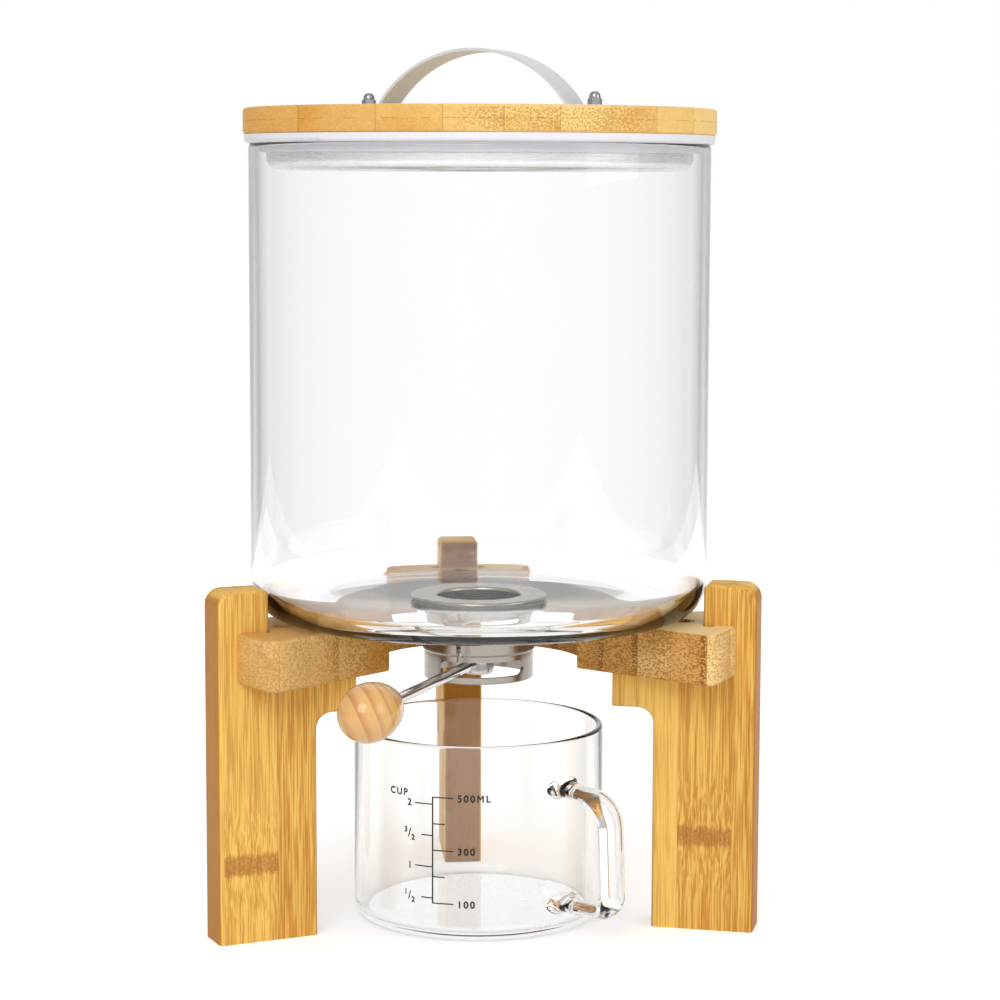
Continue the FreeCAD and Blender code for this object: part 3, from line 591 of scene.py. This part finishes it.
def printed_scale(**sizes):
    """Volume marks drawn flat, x along the wall and y up, then wrapped round the cup."""
    shape = Shape("printed_scale", **sizes)
    thick = shape.input("Line")
    text = shape.input("Text")
    bold = shape.input("Bold")
    depth = shape.input("Ink")
    bore = shape.input("Bore")
    millilitre = 1e-6 / (bore * bore * math.pi)  # height of one in the cup
    parts = []
    strokes = []

    def height(volume):
        return shape.input("Zero") + millilitre * volume

    def grid(width, tall, columns):
        sockets = {"Size X": width, "Size Y": tall, "Vertices X": columns, "Vertices Y": 2}
        return shape.add("GeometryNodeMeshGrid", {}, sockets)

    def move(thing, spot):
        return shape.add("GeometryNodeTransform", {}, {"Geometry": thing, "Translation": spot})

    def realize(thing):
        return shape.add("GeometryNodeRealizeInstances", {}, {"Geometry": thing})

    for first, step, count, length, side in TICKS:
        middle = shape.join(thick * 0.6 * side + side * length / 2, height(first), 0.0)
        rise = shape.join(0.0, millilitre * step, 0.0)
        sockets = {"Count": count, "Start Location": middle, "Offset": rise}
        rows = shape.add("GeometryNodeMeshLine", {}, sockets)
        sockets = {"Points": rows, "Instance": grid(length, thick, 12)}
        parts.append(shape.add("GeometryNodeInstanceOnPoints", {}, sockets))
    low, high = STEM
    stem = grid(thick * 1.25, millilitre * (high - low) + thick, 2)
    parts.append(move(stem, shape.join(0.0, height((low + high) / 2), 0.0)))
    for words, x, volume, scale, lift in LABELS:
        sockets = {"String": words, "Size": text * scale, "Character Spacing": LETTER_SPACING}
        letters = realize(shape.add("GeometryNodeStringToCurves", {}, sockets))
        up = height(volume) + text * (lift - HALF_CAPITAL * scale)
        letters = move(letters, shape.join(x, up, 0.0))
        parts.append(shape.add("GeometryNodeFillCurve", {}, {"Curve": letters}))
        strokes.append(letters)

    flat = realize(shape.join_geometry(parts))
    sockets = {"Mesh": flat, "Offset Scale": depth, "Individual": False}
    raised = shape.add("GeometryNodeExtrudeMesh", {}, sockets)
    under = shape.add("GeometryNodeFlipFaces", {}, {"Mesh": flat})
    whole = {"Geometry": shape.join_geometry([raised, under]), "Distance": 1e-7}
    closed = shape.add("GeometryNodeMergeByDistance", {}, whole)
    pen = shape.add("GeometryNodeCurvePrimitiveCircle", {}, {"Resolution": 6, "Radius": bold})
    edges = {"Curve": shape.join_geometry(strokes), "Profile Curve": pen}
    drawn = shape.add("GeometryNodeCurveToMesh", {}, edges)
    flatten = {"Geometry": drawn, "Scale": shape.join(1.0, 1.0, depth / bold)}
    drawn = shape.add("GeometryNodeTransform", {}, flatten)
    marks = shape.join_geometry([closed, drawn])
    x, y, z = shape.split(shape.add("GeometryNodeInputPosition"))
    turned = shape.input("Direction") + x / shape.input("Radius")
    out = shape.input("Radius") + z + INK_GAP
    wrapped = shape.join(out * shape.math("COSINE", turned), out * shape.math("SINE", turned), y)
    shape.end(shape.add("GeometryNodeSetPosition", {}, {"Geometry": marks, "Position": wrapped}))
    return shape


# ---- settings
def size(name, default, description):
    return bpy.props.FloatProperty(name=name, default=default, min=0.0, description=description,
                                   unit="LENGTH", subtype="DISTANCE", precision=5)


def amount(name, default, description):
    return bpy.props.FloatProperty(name=name, default=default, min=0.0, description=description)


def angle(name, degrees, description):
    return bpy.props.FloatProperty(name=name, default=math.radians(degrees), subtype="ANGLE",
                                   description=description)


def colour(name, code, description):
    return bpy.props.FloatVectorProperty(name=name, default=linear(code), size=3, min=0.0, max=1.0,
                                         subtype="COLOR", description=description)


class DispenserWood(bpy.types.PropertyGroup):
    """Bamboo boards and the lacquered knob."""

    strip: size("Strip width", 0.0239, "Width of a board's glued strips")
    plate_strip: size("Plate strip", 0.0128, "Width of the plate's glued strips")
    lid_strip: size("Lid strip", 0.0228, "Width of the lid's glued strips")
    ply: size("Ply thickness", 0.00617, "Thickness of a board's layers")
    fibre: size("Fibre spacing", 0.00062, "Distance between fibre bundles")
    node_gap: size("Node spacing", 0.36, "Distance between the nodes of one strip")
    strip_contrast: amount("Strip contrast", 0.35, "Difference in tone between strips")
    gloss: amount("Roughness", 0.44, "Roughness of the oiled surface")
    board_light: colour("Board, light", "FFD16E", "Light wood of the three boards")
    board_dark: colour("Board, dark", "C67F30", "Dark wood of the three boards")
    # Colour of the painted shade on the legs' narrow side faces, and of the legs' ends
    rind: colour("Rind", "AB681F", "Outer edge of the boards")
    # Painted light on the lid's top, kept pale so that its bounce on the strap stays neutral
    pale_top: colour("Lid, top", "F0E6D2", "Lit top of the lid")
    node: colour("Node", "B5703A", "Dark mark where a stem was jointed")
    toasted: colour("Toasted", "D08A2A", "Warmer wood at one side of the plate and the lid")
    glue: colour("Glue", "9A6430", "Glue lines between strips and layers")
    # Painted light on the plate's top
    plate_top: colour("Plate, top", "FFE2A4", "Lit top of the plate")
    plate_light: colour("Plate, light", "FFDE98", "Light wood of the plate")
    plate_dark: colour("Plate, dark", "BF8443", "Dark wood of the plate")
    plate_end: colour("Plate, ends", "E0A658", "Darker fibre ends of the plate")
    pore_colour: colour("Pores", "AD6F2D", "Fibre ends")
    dark_pore: colour("Dark pores", "7A4716", "Crowded fibre ends at some strip joints")
    lid_light: colour("Lid, light", "FFDA8C", "Light wood of the lid")
    lid_dark: colour("Lid, dark", "DF9F48", "Dark wood of the lid")
    lid_end: colour("Lid, ends", "E6A648", "Darker fibre ends of the lid")
    knob_light: colour("Knob, light", "E8B468", "Light wood of the knob")
    knob_dark: colour("Knob, dark", "C47C3A", "Dark growth lines of the knob")


class DispenserGlass(bpy.types.PropertyGroup):
    """The jar and the measuring cup."""

    jar_wall: size("Jar wall", 0.004, "Thickness of the jar's wall")
    jar_base: size("Jar base", 0.006, "Thickness of the jar's base")
    jar_heel: size("Jar heel", 0.015, "Rounding between the jar's wall and base")
    jar_rim: size("Jar rim", 0.0017, "Rounding of the jar's rim")
    jar_air: size("Jar air", 0.00008, "Air between the jar and the plate")
    jar_hole: size("Jar hole", 0.0208, "Radius of the hole for the valve")
    cup_wall: size("Cup wall", 0.0026, "Thickness of the cup's wall")
    cup_base: size("Cup base", 0.0036, "Thickness of the cup's base")
    cup_heel: size("Cup heel", 0.006, "Rounding between the cup's wall and base")
    cup_rim: amount("Cup rim", 0.49, "Rounding of the cup's rim, as a share of its wall")
    handle_reach: size("Handle reach", 0.0860, "Radius of the handle's upright at its foot")
    handle_top: size("Handle top", 0.065, "Height of the handle's upper branch")
    handle_low: size("Handle foot", 0.0142, "Height of the handle's lower branch")
    handle_fall: size("Handle fall", 0.002, "How far the upper branch drops before its bend")
    handle_lift: size("Handle lift", 0.0015, "How far the lower branch rises before its bend")
    handle_lean: size("Handle lean", 0.0022, "How far the upright leans in at its top")
    handle_top_bend: size("Upper bend", 0.013, "Radius of the handle's upper bend")
    handle_low_bend: size("Lower bend", 0.0075, "Radius of the handle's lower bend")
    handle_flare: amount("Handle flare", 0.45, "How much wider the handle's ends are, as a share")
    handle_width: size("Handle width", 0.0128, "Width of the handle's oval")
    handle_thickness: size("Handle thickness", 0.0068, "Thickness of the handle's oval")
    segments: bpy.props.IntProperty(name="Segments", default=288, min=48, max=512,
                                    description="Facets round a glass wall")
    jar_tint: colour("Jar tint", "FFFFFF", "Colour of the jar's glass")
    cup_tint: colour("Cup tint", "FFFFFE", "Colour of the cup's glass")


class DispenserMetal(bpy.types.PropertyGroup):
    """Steel, brass, rubber and plastic parts."""

    satin: colour("Satin steel", "D3D2D0", "Turned steel of the shutter")
    # White, brighter than the shutter's steel: painted light that the jar's glass keeps off the pan
    pan: colour("Pan steel", "FFFFFF", "Bright steel of the lid's pan")
    valve: colour("Valve steel", "A9A39A", "Brushed steel of the valve")
    strap: colour("Strap steel", "DEE0E4", "Brushed steel of the lid's strap")
    polished: colour("Polished steel", "E4E3E1", "Polished steel of the lever")
    # Darker than the lever's polished steel: painted shade in the nuts' reflections
    nut: colour("Nut steel", "A9A9AB", "Polished steel of the domed nuts")
    zinc: colour("Zinc", "A9ABAE", "Zinc plating of the hidden screws")
    brass: colour("Brass", "C9A04E", "Threaded sleeve in the knob")
    seal: colour("Seal", "F2F0F5", "Pale rubber of the lid's seal")
    nylon: colour("Nylon", "ECEBE7", "White plastic of the ring nut")
    gasket: colour("Gasket", "F2F2F0", "Clear silicone either side of the glass")


class DispenserPrint(bpy.types.PropertyGroup):
    """The volume marks on the cup."""

    ink: colour("Ink", "16130F", "Colour of the marks")
    line: size("Line width", 0.00055, "Width of a tick")
    depth: size("Ink thickness", 0.00004, "How far the ink stands off the glass")
    text: size("Text size", 0.0042, "Size of the numbers")
    bold: size("Bold", 0.00016, "How far the letters' strokes are widened")
    zero: size("Zero height", 0.0054, "Height at which the cup would read zero")
    direction: angle("Direction", -116.1, "Direction of the scale's upright line")


class DispenserStage(bpy.types.PropertyGroup):
    """Floor, light and camera."""

    floor: colour("Floor", "EDEDED", "Colour of the floor")
    ambient: amount("Ambient light", 0.70, "Strength of the plain surrounding light")
    key: amount("Key light", 13.0, "Power of the large lamp at the front left, in watts")
    fill: amount("Fill light", 4.0, "Power of the lamp at the right, in watts")
    near: amount("Floor glow, near", 0.41, "How much white the floor adds round the object")
    far: amount("Floor glow, far", 1.0, "How much white the floor adds further away")
    card: amount("Card strength", 0.50, "How dark the cards at the sides look in glass and metal")
    glass_dark: amount("Glass edges", 0.30, "How dark the rays that glass turns back are")
    camera_at: bpy.props.FloatVectorProperty(name="Camera", default=(-0.1127, -1.1804, 0.3274),
                                             size=3, subtype="TRANSLATION",
                                             description="Place of the camera")
    yaw: angle("Yaw", 5.9, "Camera turned to the right of +Y")
    pitch: angle("Pitch", 6.87, "Camera turned down from level")
    roll: angle("Roll", -0.2, "Camera turned about its own axis")
    lens: bpy.props.FloatProperty(name="Lens", default=97.79, min=1.0,
                                  description="Focal length in mm")


# ---- operators
class DISPENSER_OT_stand(bpy.types.Operator):
    """Bamboo for the three boards and the plate, zinc for their screws"""

    bl_idname = "dispenser.stand"
    bl_label = "Dress the stand"

    def execute(self, context):
        look = context.scene.dispenser_wood
        metal = context.scene.dispenser_metal
        for name, place in LEGS.items():
            board = Board(strip=look.strip, ply=look.ply, seam=look.ply * -0.5, upright=True,
                          contrast=1.0, porous=0.45, rind=0.8, marks=1.0, top=look.pale_top,
                          **place)
            pale, deep, end = look.board_light, look.board_dark, look.rind
            dress(bamboo("bamboo_" + name, look, board, pale, deep, end), name)
        # The plate's strips towards the hub take a painted shade, where the jar stands over them
        plate = Board(strip=look.plate_strip, joint=0.0900, node_at=0.13, ends=(0.15, 0.60),
                      porous=0.92, lines=0.15, pore=0.48, pores=0.80e-3, aged=(-0.074, -0.054),
                      fresh_end=0.9, toasted=0.72, toasted_from=(0.03, -0.05), sanded=0.8,
                      top=look.plate_top)
        pale, deep, end = look.plate_light, look.plate_dark, look.plate_end
        dress(bamboo("bamboo_plate", look, plate, pale, deep, end), "stand_plate")
        zinc = steel("zinc_steel", metal.zinc, (400, 400, 400), gloss=0.38, brushing=0.3)
        dress(zinc, "stand_screws")
        return {"FINISHED"}


class DISPENSER_OT_jar(bpy.types.Operator):
    """The glass jar, turned from its section"""

    bl_idname = "dispenser.jar"
    bl_label = "Make the jar"

    def execute(self, context):
        look = context.scene.dispenser_glass
        low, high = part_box("jar")
        shape = turned_wall(Radius=high.x, Foot=low.z + look.jar_air, Top=high.z,
                            Wall=look.jar_wall, Base=look.jar_base - look.jar_air,
                            Heel=look.jar_heel, Rim=look.jar_rim, Hole=look.jar_hole,
                            Segments=look.segments)
        jar = evaluate("jar_glass", shape, glass("jar_glass", look.jar_tint))
        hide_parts("jar")
        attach(jar, "jar")
        return {"FINISHED"}


class DISPENSER_OT_valve(bpy.types.Operator):
    """Steel, rubber and nylon for the outlet valve's fixed pieces"""

    bl_idname = "dispenser.valve"
    bl_label = "Dress the valve"

    def execute(self, context):
        metal = context.scene.dispenser_metal
        satin = steel("satin_steel", metal.valve, (40, 40, 2600), gloss=0.27, brushing=0.5)
        dress(satin, "valve_body", "inlet_flange", "gate_plate", "pivot_washer")
        clear = soft_rubber("clear_silicone", metal.gasket, shine=0.30, through=0.6)
        dress(clear, "inner_gasket", "outer_gasket")
        dress(moulded_plastic("white_nylon", metal.nylon), "clamp_nut")
        return {"FINISHED"}


class DISPENSER_OT_lever(bpy.types.Operator):
    """Polished steel and lacquered wood for the lever, steel for the shutter"""

    bl_idname = "dispenser.lever"
    bl_label = "Dress the lever"

    def execute(self, context):
        metal = context.scene.dispenser_metal
        polished = steel("polished_steel", metal.polished, (9000, 60, 60), gloss=0.10,
                         brushing=0.16, turn=LEVER_DIRECTION)
        dress(polished, "lever_rod", "pivot_screw")
        turned = steel("turned_steel", metal.satin, (60, 60, 1800), gloss=0.24, brushing=0.4)
        dress(turned, "shutter")
        brass = steel("brass", metal.brass, (500, 500, 500), gloss=0.3, brushing=0.3)
        dress(brass, "knob_insert")
        dress(lacquered_wood(context.scene.dispenser_wood), "lever_knob")
        return {"FINISHED"}


class DISPENSER_OT_lid(bpy.types.Operator):
    """Bamboo, rubber and steel for the lid and its handle"""

    bl_idname = "dispenser.lid"
    bl_label = "Dress the lid"

    def execute(self, context):
        look = context.scene.dispenser_wood
        metal = context.scene.dispenser_metal
        low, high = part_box("lid_disc")
        half = (high.z - low.z) / 2
        board = Board(turn=LID_GRAIN_DIRECTION, strip=look.lid_strip, joint=0.0436, ply=half,
                      seam=low.z, node_at=0.16, ends=(0.87, 0.97), lines=0.45, contrast=0.45,
                      pore=0.60, pores=0.78e-3, aged=(-0.084, -0.094), toasted=0.30,
                      toasted_from=(-0.02, -0.09), sanded=0.7, top=look.pale_top)
        pale, deep, end = look.lid_light, look.lid_dark, look.lid_end
        dress(bamboo("bamboo_lid", look, board, pale, deep, end), "lid_disc")
        dress(soft_rubber("pale_silicone", metal.seal, shine=0.33, through=0.0), "lid_seal")
        # The pan's white colour paints in light that the glass blocks
        pan = steel("pan_steel", metal.pan, (30, 30, 2200), gloss=0.28, brushing=0.35, metallic=0.6)
        dress(pan, "lid_plug")
        strap = steel("strap_steel", metal.strap, (30, 2400, 30), gloss=0.42, brushing=0.5,
                      turn=STRAP_DIRECTION, metallic=0.3)
        dress(strap, "handle_strap")
        # The nuts' darker colour paints shade into their reflections
        nuts = steel("nut_steel", metal.nut, (700, 700, 700), gloss=0.05, brushing=0.06)
        dress(nuts, "acorn_nuts", "handle_washers", "handle_bolts")
        return {"FINISHED"}


class DISPENSER_OT_cup(bpy.types.Operator):
    """The measuring cup with its handle in one glass, and its printed scale"""

    bl_idname = "dispenser.cup"
    bl_label = "Make the measuring cup"

    def execute(self, context):
        look = context.scene.dispenser_glass
        marks = context.scene.dispenser_print
        low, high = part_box("measuring_cup")
        radius = high.x
        clear = glass("cup_glass", look.cup_tint)
        shape = turned_wall(Radius=radius, Foot=low.z, Top=high.z, Wall=look.cup_wall,
                            Base=look.cup_base, Heel=look.cup_heel,
                            Rim=look.cup_wall * look.cup_rim, Hole=0.0, Segments=look.segments)
        cup = evaluate("cup_glass", shape, clear)
        labels = ("Reach", "Top", "Low", "Fall", "Lift", "Lean", "Top_Bend", "Low_Bend", "Width",
                  "Thickness", "Flare")
        sizes = {label: getattr(look, "handle_" + label.lower()) for label in labels}
        loop = handle_loop(Root=radius - look.cup_wall / 2, **sizes)
        handle = evaluate("cup_handle_loop", loop, clear)
        handle.data.transform(Matrix.Rotation(math.radians(HANDLE_DIRECTION), 4, "Z"))
        self.fuse(cup, handle)
        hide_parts("measuring_cup", "cup_handle")
        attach(cup, "cup")

        wrapped = printed_scale(Radius=radius, Direction=marks.direction, Line=marks.line,
                                Ink=marks.depth, Zero=marks.zero, Bore=radius - look.cup_wall,
                                Text=marks.text, Bold=marks.bold)
        scale = evaluate("cup_scale", wrapped, printed_ink(marks.ink))
        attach(scale, "cup")
        return {"FINISHED"}

    def fuse(self, cup, handle):
        """Joins the handle to the cup as one closed glass."""
        join = cup.modifiers.new("handle", "BOOLEAN")
        join.operation = "UNION"
        join.solver = "EXACT"
        join.object = handle
        settle(cup, join).set_sharp_from_angle(angle=math.radians(50))
        bpy.data.objects.remove(handle)


class DISPENSER_OT_stage(bpy.types.Operator):
    """Floor, lamps, surroundings and camera"""

    bl_idname = "dispenser.stage"
    bl_label = "Set the stage"

    def execute(self, context):
        look = context.scene.dispenser_stage
        context.scene.view_settings.view_transform = "Standard"
        self.lay_floor(look)
        self.light_room(context.scene, look)
        self.hang_lamp("key_lamp", look.key, *KEY_LAMP)
        self.hang_lamp("fill_lamp", look.fill, *FILL_LAMP)
        self.set_camera(context.scene, look)
        return {"FINISHED"}

    def lay_floor(self, look):
        mesh = bpy.data.meshes.new("floor")
        half = FLOOR_HALF
        corners = [(-half, -half, 0), (half, -half, 0), (half, half, 0), (-half, half, 0)]
        mesh.from_pydata(corners, [], [(0, 1, 2, 3)])
        floor = bpy.data.objects.new("floor", mesh)
        bpy.context.scene.collection.objects.link(floor)
        finish = Finish("floor", Roughness=0.9, Specular_IOR_Level=0.1)
        place = finish.add("ShaderNodeTexCoord", {}, {}, "Object")
        mottle = finish.noise(place, 5.0, 2.0)
        tone = finish.mix(mottle * 0.3, look.floor, [c * 0.97 for c in look.floor])
        away = finish.length(place)
        x, y, z = finish.split(place)
        aside, forward = self.bearings(x, y, look.yaw)
        shown, mirrored, inside = self.seen_rays(finish)
        edges = inside * forward.rise(0.15, 0.50) * look.glass_dark
        ahead = forward.rise(-1.0, 0.4) * 0.7 + 0.3
        cards = mirrored * aside.rise(0.30, 0.80) * ahead * look.card
        glow = shown * (away.rise(0.30, 1.3) * (look.far - look.near) + look.near)
        glow = glow * (1 - edges) * (1 - cards)
        light = finish.join(glow, glow, glow)
        finish.put(Base_Color=tone, Emission_Color=light, Emission_Strength=1.0)
        mesh.materials.append(finish.material)

    def bearings(self, x, y, yaw):
        """How far a place or direction lies to either side of the camera's line, and along it."""
        aside = abs(x * math.cos(yaw) - y * math.sin(yaw))
        return aside, x * math.sin(yaw) + y * math.cos(yaw)

    def seen_rays(self, nodes):
        """Masks of what the camera, glass and metal see, of mirrored rays and of those in glass."""
        rays = nodes.add("ShaderNodeLightPath").socket.node.outputs
        names = ("Is Camera Ray", "Is Glossy Ray", "Is Transmission Ray")
        camera, glossy, through_glass = [Value(nodes, rays[name]) for name in names]
        shown = nodes.math("MINIMUM", camera + glossy + through_glass, 1.0)
        mirrored = nodes.math("MINIMUM", Value(nodes, rays["Glossy Depth"]), 1.0)
        through = nodes.math("MINIMUM", Value(nodes, rays["Transmission Depth"]), 1.0)
        return shown, mirrored, mirrored * through

    def light_room(self, scene, look):
        """White all round, with dark cards at the sides that only glass and metal show."""
        world = bpy.data.worlds.new("studio")
        world.use_nodes = True
        scene.world = world
        nodes = Nodes(world.node_tree)
        x, y, z = nodes.split(nodes.add("ShaderNodeTexCoord", {}, {}, "Generated"))
        aside, forward = self.bearings(x, y, look.yaw)
        shown, mirrored, inside = self.seen_rays(nodes)
        edges = inside * z.rise(0.5, 0.15) * forward.rise(0.90, 0.99) * look.glass_dark
        ahead = forward.rise(-0.9, 0.3) * 0.7 + 0.3
        # Dark cards, wider in metal than in glass
        aside = aside.rise(0.20, 0.57) * (1 - inside) + aside.rise(0.34, 0.52) * inside
        cards = mirrored * aside * ahead * look.card
        strength = shown * (1 - edges) * (1 - cards) + (1 - shown) * look.ambient
        background = world.node_tree.nodes["Background"]
        background.inputs["Color"].default_value = (1.0, 1.0, 1.0, 1.0)
        world.node_tree.links.new(strength.socket, background.inputs["Strength"])

    def hang_lamp(self, name, power, spot, side):
        lamp = bpy.data.lights.new(name, "AREA")
        lamp.energy = power
        lamp.size = side
        thing = bpy.data.objects.new(name, lamp)
        thing.location = spot
        aim = Vector(LAMPS_AIM_AT) - thing.location
        thing.rotation_euler = aim.to_track_quat("-Z", "Y").to_euler()
        bpy.context.scene.collection.objects.link(thing)

    def set_camera(self, scene, look):
        yaw, pitch, roll = look.yaw, look.pitch, look.roll
        level = math.cos(pitch)
        ahead = Vector((math.sin(yaw) * level, math.cos(yaw) * level, -math.sin(pitch)))
        right = Vector((math.cos(yaw), -math.sin(yaw), 0))
        down = ahead.cross(right)
        turn, lean = math.cos(roll), math.sin(roll)
        right, down = (turn * right + lean * down, turn * down - lean * right)
        camera = bpy.data.objects.new("camera", bpy.data.cameras.new("camera"))
        camera.data.lens = look.lens
        facing = Matrix((right, -down, -ahead)).transposed().to_4x4()
        camera.matrix_world = Matrix.Translation(look.camera_at) @ facing
        scene.collection.objects.link(camera)
        scene.camera = camera


class DISPENSER_PT_panel(bpy.types.Panel):
    """Lists the operators with the settings they use."""

    bl_idname = "DISPENSER_PT_panel"
    bl_label = "Rice dispenser"
    bl_space_type = "VIEW_3D"
    bl_region_type = "UI"
    bl_category = "Dispenser"

    def draw(self, context):
        for operator in OPERATORS:
            self.layout.operator(operator.bl_idname)
        for name, group in SETTINGS.items():
            box = self.layout.box()
            for setting in group.__annotations__:
                box.prop(getattr(context.scene, name), setting)


SETTINGS = {
    "dispenser_wood": DispenserWood,
    "dispenser_glass": DispenserGlass,
    "dispenser_metal": DispenserMetal,
    "dispenser_print": DispenserPrint,
    "dispenser_stage": DispenserStage,
}
OPERATORS = (
    DISPENSER_OT_stand,
    DISPENSER_OT_jar,
    DISPENSER_OT_valve,
    DISPENSER_OT_lever,
    DISPENSER_OT_lid,
    DISPENSER_OT_cup,
    DISPENSER_OT_stage,
)


def register():
    for name, group in SETTINGS.items():
        bpy.utils.register_class(group)
        setattr(bpy.types.Scene, name, bpy.props.PointerProperty(type=group))
    for operator in OPERATORS:
        bpy.utils.register_class(operator)
    bpy.utils.register_class(DISPENSER_PT_panel)


def unregister():
    bpy.utils.unregister_class(DISPENSER_PT_panel)
    for operator in reversed(OPERATORS):
        bpy.utils.unregister_class(operator)
    for name, group in reversed(SETTINGS.items()):
        delattr(bpy.types.Scene, name)
        bpy.utils.unregister_class(group)


def main():
    register()
    bpy.ops.dispenser.stand()
    bpy.ops.dispenser.jar()
    bpy.ops.dispenser.valve()
    bpy.ops.dispenser.lever()
    bpy.ops.dispenser.lid()
    bpy.ops.dispenser.cup()
    bpy.ops.dispenser.stage()


if __name__ == "__main__":
    main()
